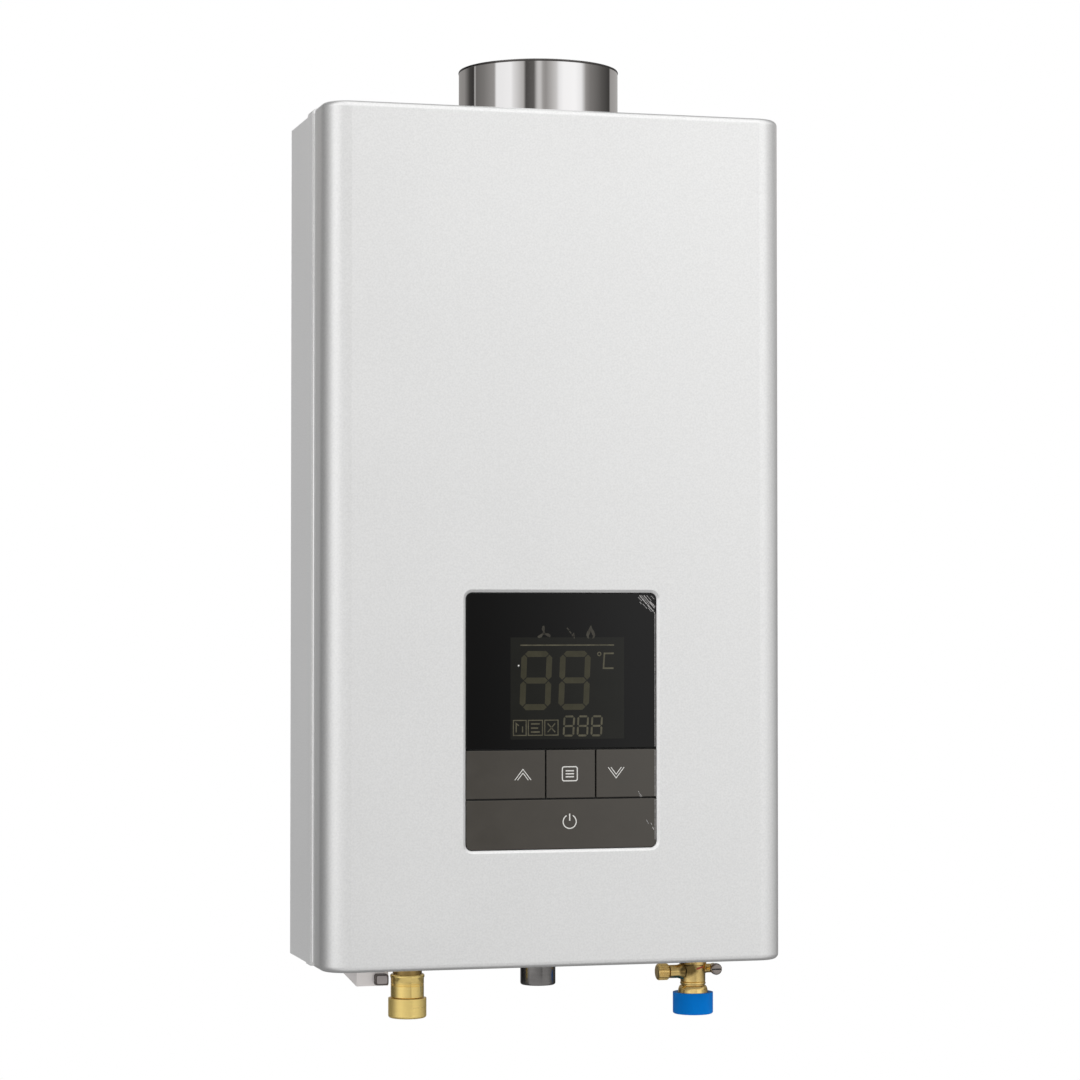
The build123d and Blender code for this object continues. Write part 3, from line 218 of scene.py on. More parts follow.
def powder_coat(name, colour, rough, metal):
    """Silver stoved paint with a fine speckle of flake and orange peel."""
    mat = surface(name, colour, rough, metal=metal, coat=0.15, tint=0.010, tint_scale=9, rough_spread=0.02,
                  grain=0.20, grain_scale=1000, grain_depth=0.03)
    nodes, links = mat.node_tree.nodes, mat.node_tree.links
    bsdf = nodes["Principled BSDF"]
    bsdf.inputs["Coat Roughness"].default_value = PAINT_ROUGHNESS
    base = bsdf.inputs["Base Color"].links[0].from_socket
    noise = object_noise(nodes, links, FLAKE_SCALE, GRAIN_DETAIL)
    flake = grey_from(nodes, links, map_range(nodes, links, noise, NOISE_RANGE, FLAKE_LEVELS))
    links.new(mixed(nodes, links, 1.0, base, flake, "MULTIPLY"), bsdf.inputs["Base Color"])
    return mat


def cast_brass(name):
    """Cast brass with one dark patch of painted shade high on the cold inlet's left."""
    mat = surface(name, (0.86, 0.62, 0.24), 0.22, metal=1.0, tint=0.10, tint_scale=130, rough_spread=0.06,
                  grain=0.12, grain_scale=700, grain_depth=0.04)
    nodes, links = mat.node_tree.nodes, mat.node_tree.links
    bsdf = nodes["Principled BSDF"]
    base = bsdf.inputs["Base Color"].links[0].from_socket
    place = nodes.new("ShaderNodeTexCoord")
    reach = nodes.new("ShaderNodeVectorMath")
    reach.operation = "DISTANCE"
    reach.inputs[1].default_value = [v * MM for v in SHADE_PATCH_MIDDLE]
    links.new(place.outputs["Object"], reach.inputs[0])
    radii = [radius * MM for radius in SHADE_PATCH_RADII]
    push = map_range(nodes, links, reach.outputs["Value"], radii, SHADE_PATCH_PUSH)
    noise = object_noise(nodes, links, SHADE_PATCH_NOISE_SCALE, SHADE_PATCH_NOISE_DETAIL)
    patch = math_node(nodes, links, "ADD", noise, push)
    amount = map_range(nodes, links, patch, SHADE_PATCH_THRESHOLD, (0.0, SHADE_PATCH_STRENGTH))
    # The dark patch mixed into the brass colour here is painted shade and dark reflection
    links.new(mixed(nodes, links, amount, base, SHADE_PATCH_COLOUR), bsdf.inputs["Base Color"])
    return mat


powder_coat("cover_paint", (0.84, 0.84, 0.835), 0.34, 0.65)
CASING = powder_coat("casing_paint", (0.86, 0.86, 0.86), 0.42, 0.20)
surface("stainless", (0.765, 0.755, 0.755), 0.045, metal=1.0, tint=0.02, tint_scale=60,
        rough_spread=0.015, grain=0.03, grain_scale=500, grain_depth=0.02, stretch=(1, 1, 0.05))
surface("zinc_sheet", (0.60, 0.61, 0.62), 0.34, metal=1.0, tint=0.10, tint_scale=90, rough_spread=0.08)
surface("screw_steel", (0.32, 0.28, 0.26), 0.18, metal=1.0, tint=0.10, tint_scale=400, grain=0.05)
surface("flue_seal", (0.28, 0.28, 0.27), 0.7, tint=0.08, tint_scale=300, grain=0.3, grain_scale=1500)
surface("display_black", (0.0016, 0.0015, 0.0014), 0.045, tint=0.10, tint_scale=20,
        rough_spread=0.01, specular=0.22)
surface("key_grey", (0.051, 0.045, 0.037), 0.13, tint=0.05, tint_scale=60, rough_spread=0.02,
        grain=0.03, grain_scale=1500, specular=0.50)
surface("panel_plastic", (0.03, 0.03, 0.03), 0.5, tint=0.10, tint_scale=120, grain=0.2,
        grain_scale=1800)
surface("circuit_board", (0.02, 0.12, 0.05), 0.35, coat=0.3, tint=0.15, tint_scale=150)
surface("circuit_parts", (0.05, 0.05, 0.055), 0.45, tint=0.15, tint_scale=150, grain=0.1)
surface("brass", (1.0, 0.745, 0.258), 0.30, metal=0.60, tint=0.03, tint_scale=60, rough_spread=0.03,
        grain=0.02, grain_scale=260, grain_depth=0.02, stretch=(1, 1, 14))
TURNED_BRASS = surface("turned_brass", (1.0, 0.740, 0.262), 0.17, metal=0.78, tint=0.03, tint_scale=60,
                       rough_spread=0.02, grain=0.02, grain_scale=260, grain_depth=0.02, stretch=(1, 1, 14))
CAST_BRASS = cast_brass("cast_brass")
# Dark brown brass for the hot outlet's neck above its lip: painted shade under the cover's bottom edge
NECK_PAINTED_SHADE = surface("brass_painted_shade", (0.34, 0.23, 0.085), 0.34, metal=1.0, tint=0.25, tint_scale=200,
                  rough_spread=0.06)
GAS_STEEL = surface("gas_steel", (0.27, 0.26, 0.254), 0.17, metal=1.0, tint=0.06, tint_scale=60,
                    rough_spread=0.03, grain=0.05, grain_scale=260, grain_depth=0.02, stretch=(1, 1, 12))
surface("blue_plastic", (0.0, 0.20, 0.70), 0.40, tint=0.04, tint_scale=120, rough_spread=0.04,
        grain=0.04, grain_scale=900, specular=0.05)
surface("cap_rubber", (0.03, 0.03, 0.03), 0.7, tint=0.10, tint_scale=200, grain=0.2,
        grain_scale=1500)
surface("inlet_plastic", (0.93, 0.885, 0.87), 0.42, tint=0.03, tint_scale=70, grain=0.06,
        grain_scale=1400)
surface("bung_rubber", (0.09, 0.075, 0.07), 0.5, tint=0.06, tint_scale=200, grain=0.12,
        grain_scale=1500)
# A paler rubber for the front of the bung: painted light on its lit face, against the dark rubber at its
# shaded edge
BUNG_PAINTED_LIGHT = surface("bung_painted_light_face", (0.42, 0.38, 0.375), 0.5, tint=0.06, tint_scale=300, grain=0.12,
                    grain_scale=1500)
surface("copper", (0.72, 0.36, 0.22), 0.28, metal=1.0, tint=0.10, tint_scale=60, rough_spread=0.08)
surface("burner_steel", (0.46, 0.45, 0.44), 0.36, metal=1.0, tint=0.10, tint_scale=80,
        rough_spread=0.08)
surface("electrode_white", (0.78, 0.75, 0.68), 0.22, tint=0.04, tint_scale=200, coat=0.4)
DARK = surface("thermostat_black", (0.03, 0.028, 0.028), 0.4, tint=0.10, tint_scale=200, grain=0.1)
surface("cast_aluminium", (0.60, 0.60, 0.61), 0.42, metal=1.0, tint=0.08, tint_scale=150, grain=0.2,
        grain_scale=900)
surface("coil_black", (0.02, 0.02, 0.02), 0.42, tint=0.10, tint_scale=200, grain=0.1)
surface("fan_plastic", (0.06, 0.06, 0.065), 0.45, tint=0.08, tint_scale=120, grain=0.1)
surface("motor_paint", (0.08, 0.08, 0.085), 0.38, tint=0.06, tint_scale=120, grain=0.1)
surface("sensor_plastic", (0.035, 0.035, 0.035), 0.42, tint=0.08, tint_scale=150, grain=0.12)
DIM = surface("display_dim", (0.040, 0.037, 0.022), 0.06, tint=0.12, tint_scale=150, rough_spread=0.01,
              specular=0.22)
BRIGHT = surface("display_bright", (0.085, 0.078, 0.052), 0.06, tint=0.25, tint_scale=260, rough_spread=0.01,
                 specular=0.22)
FAINT = surface("display_faint", (0.046, 0.042, 0.033), 0.06, tint=0.30, tint_scale=300, rough_spread=0.01,
                specular=0.22)
FIELD = surface("display_field", (0.0085, 0.0085, 0.0065), 0.05, tint=0.12, tint_scale=60, rough_spread=0.01,
                specular=0.22)
LEGEND = surface("key_legend", (0.70, 0.69, 0.66), 0.35, tint=0.03, tint_scale=400)
# Whiter, shinier metal than the pan's paint, for its folded edge: a painted highlight
EDGE_PAINTED_HIGHLIGHT = surface("edge_painted_highlight", (0.94, 0.94, 0.94), 0.16, metal=1.0, tint=0.03, tint_scale=80)
# Near-black metal for the flue's rolled rim: a painted dark reflection
RIM_PAINTED_REFLECTION = surface("rim_painted_reflection", (0.10, 0.094, 0.09), 0.28, metal=1.0, tint=0.10, tint_scale=120)
# Grey for the creases of the clear protective film: painted highlights of the crumpled film
FILM_PAINTED_SHEEN = surface("loose_film_painted_sheen", (0.30, 0.29, 0.285), 0.16, tint=0.45, tint_scale=900, rough_spread=0.06)
MARK = surface("red_mark", (0.45, 0.05, 0.02), 0.4, tint=0.20, tint_scale=700)

# A slot of the record has the name of its material
slot_of = {row["node"]: row["material_slot"] for row in frame["record"]["subparts"]}
for node, obj in frame["nodes"].items():
    obj.data.materials.clear()
    obj.data.materials.append(materials[slot_of[node]])
# The drain's knob is cast, like the valve that it closes
frame["nodes"]["drain_knob"].data.materials[0] = CAST_BRASS


def paint_where(obj, mat, test):
    """Gives a second material to the faces whose middle, in millimetres, passes a test."""
    obj.data.materials.append(mat)
    for face in obj.data.polygons:
        if test(face.center / MM):
            face.material_index = 1


# The sides of the cover's stepped rim, behind the seam, have the casing's paint
paint_where(frame["nodes"]["front_cover"], CASING, lambda spot: abs(spot.x) > cover_high.x - 0.1 * RIM_STEP)


# Turned and threaded pieces
def finish_piece(name, bm, body, mat, replaced=(), sharp=32):
    """Turns a mesh in the making into a piece that rides a body, with edges sharp from an angle on."""
    bmesh.ops.recalc_face_normals(bm, faces=bm.faces)
    mesh = bpy.data.meshes.new(name)
    bm.to_mesh(mesh)
    bm.free()
    mesh.polygons.foreach_set("use_smooth", [True] * len(mesh.polygons))
    mesh.set_sharp_from_angle(angle=math.radians(sharp))
    mesh.materials.append(mat)
    obj = bpy.data.objects.new(name, mesh)
    scene.collection.objects.link(obj)
    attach(obj, body)
    if replaced:
        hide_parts(*replaced)
    return obj


def add_vert(bm, x, y, z):
    return bm.verts.new((x * MM, y * MM, z * MM))


def lathe(bm, outline, place, axis="Z", steps=72):
    """Turns a closed outline of (radius, distance along the axis) about an axis through a place."""
    rings = []
    for radius, along in outline:
        ring = []
        for i in range(steps if radius > 0 else 1):
            a = 2 * math.pi * i / steps
            u, v = radius * math.cos(a), radius * math.sin(a)
            p = {"Z": (u, v, along), "X": (along, u, v), "Y": (u, along, v)}[axis]
            ring.append(add_vert(bm, *(place[k] + p[k] for k in range(3))))
        rings.append(ring)
    for a, b in zip(rings, rings[1:] + rings[:1]):
        for i in range(steps):
            k = (i + 1) % steps
            corners = []
            for vert in (a[i % len(a)], a[k % len(a)], b[k % len(b)], b[i % len(b)]):
                if vert not in corners:
                    corners.append(vert)
            if len(corners) > 2:
                bm.faces.new(corners)


def join_rows(bm, rows):
    """Skins rows of points into a closed body with a cap at each end."""
    count = len(rows[0])
    for a, b in zip(rows, rows[1:]):
        for k in range(count):
            j = (k + 1) % count
            bm.faces.new((a[k], b[k], b[j], a[j]))
    bm.faces.new(rows[0])
    bm.faces.new(rows[-1][::-1])


def screw_thread(bm, x, z_high, z_low, root, crest, steps=48):
    """A right-hand V thread wound down a core, run out to nothing at both ends."""
    pitch, half_flat, run_out_turns = THREAD_PITCH, 0.08 * THREAD_PITCH, 0.4
    count = int((z_high - z_low - pitch) / pitch * steps)
    rows = []
    for i in range(count + 1):
        a = -2 * math.pi * i / steps
        z = z_high - pitch / 2 - pitch * i / steps
        run_out = min(1.0, i / (steps * run_out_turns), (count - i) / (steps * run_out_turns))
        tip = root + (crest - root) * run_out
        profile = ((root, pitch / 2), (tip, half_flat), (tip, -half_flat), (root, -pitch / 2))
        rows.append([add_vert(bm, x + radius * math.cos(a), fitting_y + radius * math.sin(a), z + lift)
                     for radius, lift in profile])
    join_rows(bm, rows)


def shank_part(bore):
    """The outline that the fittings share: bore, shank in the casing's floor and flange under it."""
    chamfer = 0.6
    return [(bore, fitting_top), (SHANK - chamfer, fitting_top), (SHANK, fitting_top - chamfer),
            (SHANK, casing_under), (FLANGE, casing_under), (FLANGE, flange_under)]


def threaded_end(neck_end):
    """The outline of the thread's core, from the end of the neck down and back into the bore."""
    end, chamfer, bore_chamfer = neck_end - THREAD_REACH, 0.8, 0.5
    return [(THREAD_ROOT, neck_end), (THREAD_ROOT, end + chamfer), (THREAD_ROOT - chamfer, end),
            (WATER_BORE + bore_chamfer, end), (WATER_BORE, end + bore_chamfer)]


def scribed_line(radius, z):
    half_width, depth = 0.2, 0.22
    return [(radius, z + half_width), (radius - depth, z), (radius, z - half_width)]


def hot_outlet():
    """The turned nipple: a neck with a rounded lip and two scribed lines, and the thread below it."""
    neck_end = box_mm("hot_outlet_nipple")[0].z + THREAD_REACH
    lip_top, lip, neck, throat, chamfer = flange_under - 7.8, 11.7, 11.3, SHANK - 0.5, 0.5
    outline = shank_part(WATER_BORE) + [(throat, flange_under), (throat, lip_top)]
    outline += [(lip - 0.9, lip_top), (lip - 0.35, lip_top - 0.25), (lip - 0.05, lip_top - 0.8),
                (lip, lip_top - 1.4), (lip - 0.1, lip_top - 2.2), (neck, lip_top - 2.7)]
    for line_lift in (9.4, 8.3):
        outline += scribed_line(neck, neck_end + line_lift)
    outline += [(neck, neck_end + chamfer), (neck - chamfer, neck_end)]
    bm = bmesh.new()
    lathe(bm, outline + threaded_end(neck_end), (hot_x, fitting_y, 0))
    screw_thread(bm, hot_x, neck_end, neck_end - THREAD_REACH, THREAD_ROOT, THREAD_CREST)
    obj = finish_piece("hot_outlet_turned", bm, "heater", TURNED_BRASS, ("hot_outlet_nipple",))
    # The neck above the lip gets the dark brass: painted shade under the cover
    paint_where(obj, NECK_PAINTED_SHADE, lambda spot: spot.z > lip_top + 0.1)
    return obj


def gas_inlet():
    """The turned steel socket with its thread inside."""
    end = box_mm("gas_inlet_socket")[0].z
    radius, bore, thread_tip, depth = 12.1, 6.0, 9.3, 14.0
    wall = THREAD_CREST - 0.1
    outline = shank_part(bore) + [(radius, flange_under), (radius, end + 1.2), (radius - 0.25, end + 0.45),
                                  (radius - 0.9, end), (wall + 0.2, end), (wall, end + 0.6),
                                  (wall, end + depth), (bore, end + depth)]
    bm = bmesh.new()
    lathe(bm, outline, (gas_x, fitting_y, 0))
    screw_thread(bm, gas_x, end + depth, end + 0.3, THREAD_CREST, thread_tip)
    return finish_piece("gas_inlet_turned", bm, "heater", GAS_STEEL, ("gas_inlet_socket",))


def valve_body(neck_end):
    """Outline of the cold inlet's upright part: body, neck, bead between two grooves and bell flare."""
    body, neck, flare_start, flare = 9.4, 8.7, 9.2, 10.6
    neck_top, flare_top = casing_under - 9.0, neck_end + 5.0
    outline = shank_part(WATER_BORE) + [(body, flange_under), (body, neck_top)]
    outline += [(neck + 0.25, neck_top - 0.7), (neck, neck_top - 1.4), (neck, flare_top + 3.0),
                (neck - 0.35, flare_top + 2.75)]
    outline += [(neck + 0.05, flare_top + 2.45), (neck + 0.22, flare_top + 1.9),
                (neck + 0.2, flare_top + 1.4), (neck, flare_top + 0.95), (neck - 0.5, flare_top + 0.75),
                (neck - 0.5, flare_top + 0.25)]
    outline += [(flare_start - 0.2, flare_top), (flare_start, flare_top - 0.2),
                (flare_start + 0.4, flare_top - 0.8), (flare - 0.62, flare_top - 1.8),
                (flare - 0.36, flare_top - 3.0), (flare - 0.14, neck_end + 0.8), (flare, neck_end + 0.2),
                (flare - 0.2, neck_end)]
    return outline + threaded_end(neck_end)


def drain_branch(seat, seat_depth, root):
    """Outline of the left branch, from the seat of the drain's spindle to its root in the body."""
    branch, face = 4.6, box_mm("cold_inlet_valve")[0].x
    return [(0, face + seat_depth), (seat, face + seat_depth), (seat, face), (branch - 0.7, face),
            (branch - 0.15, face + 0.3), (branch, face + 0.9), (branch, cold_x - 11.5),
            (branch + 0.5, cold_x - 9.6), (branch + 1.6, cold_x - 8.0), (branch + 1.6, cold_x - root),
            (0, cold_x - root)]


def relief_arm(root):
    """Outline of the slimmer right arm, from its root in the body to the middle of the relief boss."""
    arm = 3.1
    return [(0, cold_x + root), (arm + 0.9, cold_x + root), (arm + 0.9, cold_x + 8.2),
            (arm + 0.3, cold_x + 9.2), (arm, cold_x + 10.2), (arm, relief_x), (0, relief_x)]


def relief_boss(seat, seat_depth):
    """Outline of the boss that the relief screw sits in, rounded at the back and open at the front."""
    boss, face, chamfer, round_steps = 3.5, fitting_y - 5.6, 0.4, (1.45, 1.2, 0.9, 0.6, 0.3, 0)
    outline = [(0, fitting_y + boss)]
    outline += [(boss * math.cos(t), fitting_y + boss * math.sin(t)) for t in round_steps]
    return outline + [(boss, face + 0.5), (boss - chamfer, face), (seat, face), (seat, face + seat_depth),
                      (0, face + seat_depth)]


def cold_inlet():
    """The cast valve: an upright body with a branch to each side."""
    neck_end = box_mm("cold_inlet_valve")[0].z + THREAD_REACH
    seat, seat_depth, root = 2.1, 5.8, 7.2
    bm = bmesh.new()
    lathe(bm, valve_body(neck_end), (cold_x, fitting_y, 0))
    screw_thread(bm, cold_x, neck_end, neck_end - THREAD_REACH, THREAD_ROOT, THREAD_CREST)
    lathe(bm, drain_branch(seat, seat_depth, root), (0, fitting_y, branch_z), "X")
    lathe(bm, relief_arm(root), (0, fitting_y, relief_z), "X")
    lathe(bm, relief_boss(seat, seat_depth), (relief_x, 0, relief_z), "Y", 40)
    return finish_piece("cold_inlet_cast", bm, "heater", CAST_BRASS, ("cold_inlet_valve",))


def red_paint_mark():
    """A dab of inspector's paint on the front of the cold inlet, wavy and tapered at both ends."""
    radius, depth, start_z, rise, half_width = 8.76, 0.3, branch_z + 2.1, 1.5, 0.75
    first_turn, sweep_turn, steps = -92, 40, 8
    bm = bmesh.new()
    columns = []
    for i in range(steps + 1):
        t = i / steps
        a = math.radians(first_turn + sweep_turn * t)
        z = start_z + rise * t
        half = half_width * math.sin(math.pi * (0.12 + 0.8 * t)) * (1 + 0.25 * math.sin(9 * t))
        profile = ((radius, -half), (radius, half), (radius - depth, half), (radius - depth, -half))
        columns.append([add_vert(bm, cold_x + r * math.cos(a), fitting_y + r * math.sin(a), z + lift)
                        for r, lift in profile])
    join_rows(bm, columns)
    return finish_piece("red_paint_mark", bm, "heater", MARK)


def flue_rim():
    """The rolled rim of the flue collar, in near-black metal as a painted dark reflection."""
    bead, rim_radius, steps = 1.0, 54.3, 16
    z = box_mm("flue_collar")[1].z - 0.8
    collar = middle("flue_collar")
    turn = [2 * math.pi * i / steps for i in range(steps)]
    outline = [(rim_radius + bead * math.cos(t), z + bead * math.sin(t)) for t in turn]
    bm = bmesh.new()
    lathe(bm, outline, (collar.x, collar.y, 0), steps=144)
    return finish_piece("flue_rolled_rim", bm, "heater", RIM_PAINTED_REFLECTION, sharp=60)


def corner_path(x0, x1, z0, z1, corner, quarters, steps=8):
    """Places along a rounded rectangle, seen from the front, each with its outward direction."""
    path = []
    for first in quarters:
        cx = x1 - corner if first in (0, 270) else x0 + corner
        cz = z1 - corner if first in (0, 90) else z0 + corner
        for i in range(steps + 1):
            a = math.radians(first + 90 * i / steps)
            out = (math.cos(a), math.sin(a))
            path.append(((cx + corner * out[0], cz + corner * out[1]), out))
    return path


def seam_lip():
    """The folded edge of the front pan, in whiter and shinier metal than its paint: a painted highlight
    where it meets the step behind it.
    """
    corner, reach, root = 4.0, 0.25, -0.05
    profile = [(root, seam_y - 0.70), (reach, seam_y - 0.55), (reach, seam_y - 0.45), (root, seam_y - 0.3)]
    half_x, half_z = pan_half_width, pan_half_height
    over_top = corner_path(-half_x, half_x, -half_z, half_z, corner, (0, 90))
    foot = -half_z + corner
    path = [((half_x, foot), (1, 0))] + over_top + [((-half_x, foot), (-1, 0))]
    bm = bmesh.new()
    join_rows(bm, [[add_vert(bm, px + nx * out, y, pz + nz * out) for out, y in profile]
                   for (px, pz), (nx, nz) in path])
    return finish_piece("cover_folded_edge", bm, "heater", EDGE_PAINTED_HIGHLIGHT, sharp=20)


hot_outlet()
gas_inlet()
cold_inlet()
red_paint_mark()
flue_rim()
seam_lip()


# Lines and shapes of flat marks, drawn across (x) and up (z) from a place on a face
def stroke(points, width, closed=False):
    """Outlines of a line of even width, one four-sided piece for each run, with mitred joints."""
    half, sharpest_mitre = width / 2, 0.35
    spots = [Vector(p) for p in points]
    count = len(spots)
    left, right = [], []
    for i, spot in enumerate(spots):
        before = spots[i - 1] if (closed or i > 0) else None
        after = spots[(i + 1) % count] if (closed or i < count - 1) else None
        way_in = (spot - before).normalized() if before is not None else (after - spot).normalized()
        way_out = (after - spot).normalized() if after is not None else way_in
        side_in, side_out = Vector((-way_in.y, way_in.x)), Vector((-way_out.y, way_out.x))
        mitre = (side_in + side_out).normalized()
        reach = half / max(sharpest_mitre, mitre.dot(side_in))
        left.append(spot + mitre * reach)
        right.append(spot - mitre * reach)
    runs = count if closed else count - 1
    return [[left[i], left[(i + 1) % count], right[(i + 1) % count], right[i]] for i in range(runs)]


def arc(cx, cz, radius, start, end, steps):
    turn = [math.radians(start + (end - start) * i / steps) for i in range(steps + 1)]
    return [(cx + radius * math.cos(a), cz + radius * math.sin(a)) for a in turn]


def ring(cx, cz, outer, width, start=0, end=360, steps=36):
    line = arc(cx, cz, outer - width / 2, start, end, steps)
    if end - start >= 360:
        return stroke(line[:-1], width, closed=True)
    return stroke(line, width)


def seven_segments(x0, x1, z0, z1, width, gap, lean):
    """Seven six-sided bars of a digit, leaning to the right by a share of the height."""
    half = width / 2

    def bar(start, end):
        way = (Vector(end) - Vector(start)).normalized()
        along, across = way * half, Vector((-way.y, way.x)) * half
        a, b = Vector(start) + way * gap, Vector(end) - way * gap
        corners = [a, a + along + across, b - along + across, b, b - along - across, a + along - across]
        return [(p.x + (p.y - z0) * lean, p.y) for p in corners]

    left, right, foot, mid, top = x0 + half, x1 - half, z0 + half, (z0 + z1) / 2, z1 - half
    level = [bar((left, z), (right, z)) for z in (top, mid, foot)]
    upright = [bar((x, low), (x, high)) for low, high in ((mid, top), (foot, mid)) for x in (left, right)]
    return level + upright


def digits(count, first_x, spacing, wide, foot, top, width, gap, lean):
    """A row of digits with all their bars."""
    shapes = []
    for i in range(count):
        x0 = first_x + i * spacing
        shapes += seven_segments(x0, x0 + wide, foot, top, width, gap, lean)
    return shapes


def big_digits():
    return digits(2, first_x=36.4, spacing=26.8, wide=21.4, foot=-78.2, top=-38.7,
                  width=4.0, gap=0.45, lean=0.04)


def small_digits():
    return digits(3, first_x=66.4, spacing=9.7, wide=8.0, foot=-96.1, top=-82.0,
                  width=1.3, gap=0.35, lean=0.05)


def boxed_signs():
    """Three boxes in a row: two plain strokes, three bars and a cross."""
    foot, top, thin, thick = -95.0, -85.0, 0.8, 1.0
    shapes = []
    for x0, x1 in ((32.3, 41.1), (42.6, 52.4), (54.0, 63.2)):
        shapes += stroke([(x0, foot), (x1, foot), (x1, top), (x0, top)], 0.7, closed=True)
    shapes += stroke([(34.2, -93.0), (34.2, -87.0), (36.1, -88.6)], thin)
    shapes += stroke([(38.6, -93.0), (38.6, -89.0)], thin)
    for x1, z in ((50.6, -92.8), (49.4, -90.2), (50.6, -87.4)):
        shapes += stroke([(44.4, z), (x1, z)], thick)
    shapes += stroke([(56.0, -87.2), (58.6, -90.0), (61.2, -87.2)], thin)
    shapes += stroke([(56.0, -93.0), (58.6, -90.2), (61.2, -93.0)], thin)
    return shapes


def degree_sign():
    letter = [(102.2, -40.4), (95.6, -40.4), (94.9, -50.4), (102.0, -50.4)]
    return ring(92.0, -40.8, 1.5, 0.7, steps=16) + stroke(letter, 1.1)


def small_marks():
    """The line, three small digits, three boxed signs and the degree sign."""
    line = stroke([(37.1, -34.8), (102.4, -34.8)], 0.8)
    return line + small_digits() + boxed_signs() + degree_sign()


def fan_sign():
    shapes, hub = [], Vector((53.4, -26.8))
    blade = [(-0.4, 0.8), (-1.5, 2.6), (-1.2, 4.6), (0.2, 5.2), (0.6, 3.0), (0.4, 0.8)]
    for turn in (0, 120, 240):
        spin = Matrix.Rotation(math.radians(turn), 2)
        shapes.append([spin @ Vector(p) + hub for p in blade])
    return shapes + ring(hub.x, hub.y, 0.9, 0.45, steps=12)


def spray_sign():
    shapes, width = [], 0.8
    for k in range(3):
        x, z = 69.4 + k * 1.7, -23.2 - k * 2.2
        shapes += stroke([(x, z), (x + 1.4, z - 1.6)], width)
    return shapes + stroke([(74.0, -26.6), (74.5, -30.4)], width)


def flame_sign():
    return [[(86.2, -21.4), (84.6, -24.1), (83.3, -26.2), (82.9, -28.2), (83.6, -30.1), (85.0, -30.6),
             (84.6, -28.8), (85.5, -26.8), (86.1, -25.4), (86.7, -27.0), (87.6, -28.6), (87.1, -30.6),
             (88.5, -30.0), (89.2, -28.1), (88.6, -25.8), (87.2, -24.0)]]


def mode_signs():
    """A fan, a water spray and a flame in a row above the line."""
    return fan_sign() + spray_sign() + flame_sign()


def chevrons(cx, cz, up):
    """Two nested arrow heads with their feet in one line, pointing up (1) or down (-1)."""
    reach, tall, inner_drop, width = 5.6, 7.2, 2.5, 0.5
    shapes = []
    for drop in (0.0, inner_drop):
        wide = (tall - drop) * reach / tall
        tip, foot = cz + up * (tall / 2 - drop), cz - up * tall / 2
        shapes += stroke([(cx - wide, foot), (cx, tip), (cx + wide, foot)], width)
    return shapes


def menu_box(cx, cz):
    """A rounded box with three lines in it."""
    half_x, half_z, corner, line_reach, line_spacing = 5.2, 4.7, 1.3, 2.9, 2.0
    path = corner_path(cx - half_x, cx + half_x, cz - half_z, cz + half_z, corner, (0, 90, 180, 270), 5)
    shapes = stroke([place for place, _ in path], 0.72, closed=True)
    for k in (-1, 0, 1):
        z = cz + k * line_spacing
        shapes += stroke([(cx - line_reach, z), (cx + line_reach, z)], 0.8)
    return shapes


def power_mark(cx, cz):
    """A ring that is open at the top, with a bar in the gap."""
    return ring(cx, cz, 4.9, 0.72, 118, 422, 40) + stroke([(cx, cz + 0.6), (cx, cz + 5.4)], 0.8)


def bung_pad():
    """The pale raised middle of the bung's face, inside its dark edge: painted light on the lit front, with
    the darker rubber left at the edge for its shade.
    """
    low, high = box_mm("power_inlet_bung")
    edge, corner = 1.0, 1.0
    path = corner_path(edge, high.x - low.x - edge, low.z - high.z + edge, -edge, corner, (0, 90, 180, 270))
    return [[place for place, _ in path]]


def film_creases(lines):
    """Short raised creases of loose film, coloured grey as painted highlights: start, end and width of each.
    """
    shapes = []
    for start, end, width in lines:
        shapes += stroke([start, end], width)
    return shapes


corner_creases = [
    ((120.4, -1.4), (125.4, -7.2), 0.7), ((125.8, -7.4), (130.2, -12.2), 0.9),
    ((121.6, -1.2), (127.2, -7.4), 0.4), ((123.4, -1.4), (130.9, -10.0), 0.6),
    ((127.6, -5.4), (131.3, -9.0), 0.7), ((125.4, -1.4), (128.6, -4.8), 0.35),
    ((119.4, -2.6), (122.0, -5.2), 0.4), ((120.6, -5.8), (121.6, -7.2), 0.5),
    ((122.6, -7.0), (125.6, -10.2), 0.35), ((126.4, -9.6), (128.6, -12.4), 0.35),
    ((130.6, -12.6), (131.2, -13.6), 0.5), ((128.4, -1.6), (130.6, -3.8), 0.35),
    ((131.2, -14.0), (131.2, -103.4), 0.45)]
down_key_creases = [
    ((29.9, -29.6), (31.9, -32.0), 0.4), ((29.2, -28.2), (30.0, -29.2), 0.35),
    ((30.2, -31.2), (31.0, -32.2), 0.4), ((41.2, -0.6), (41.2, -31.9), 0.45)]
power_key_creases = [
    ((125.0, -14.5), (126.6, -17.3), 0.4), ((129.4, -19.5), (130.3, -21.3), 0.6),
    ((128.2, -16.7), (129.0, -18.1), 0.35), ((131.2, -0.9), (131.2, -27.9), 0.45)]
field = [[(30.3, -97.7), (109.4, -97.7), (109.4, -29.6), (30.3, -29.6)]]
spark = [arc(35.9, -48.4, 0.55, 0, 330, 11)]
# A thin dark plate on the floor of the relief screw's slot: painted shade in the slot
SLOT_HALF_LENGTH, SLOT_WIDTH, SLOT_FLOOR = 3.4, 0.9, 1.2
slot_painted_shade = stroke([(-SLOT_HALF_LENGTH, 0), (SLOT_HALF_LENGTH, 0)], SLOT_WIDTH)
slot_middle = Vector((relief_x, box_mm("relief_screw")[0].y + SLOT_FLOOR, relief_z))


def flat_marks(name, outlines, place, proud, body, mat, sunk=0.01):
    """Thin raised marks on a face that looks to the front, drawn from a place on it."""
    bm = bmesh.new()
    for points in outlines:
        join_rows(bm, [[add_vert(bm, place.x + x, y, place.z + z) for x, z in points]
                       for y in (place.y - proud, place.y + sunk)])
    return finish_piece(name, bm, body, mat, sharp=20)


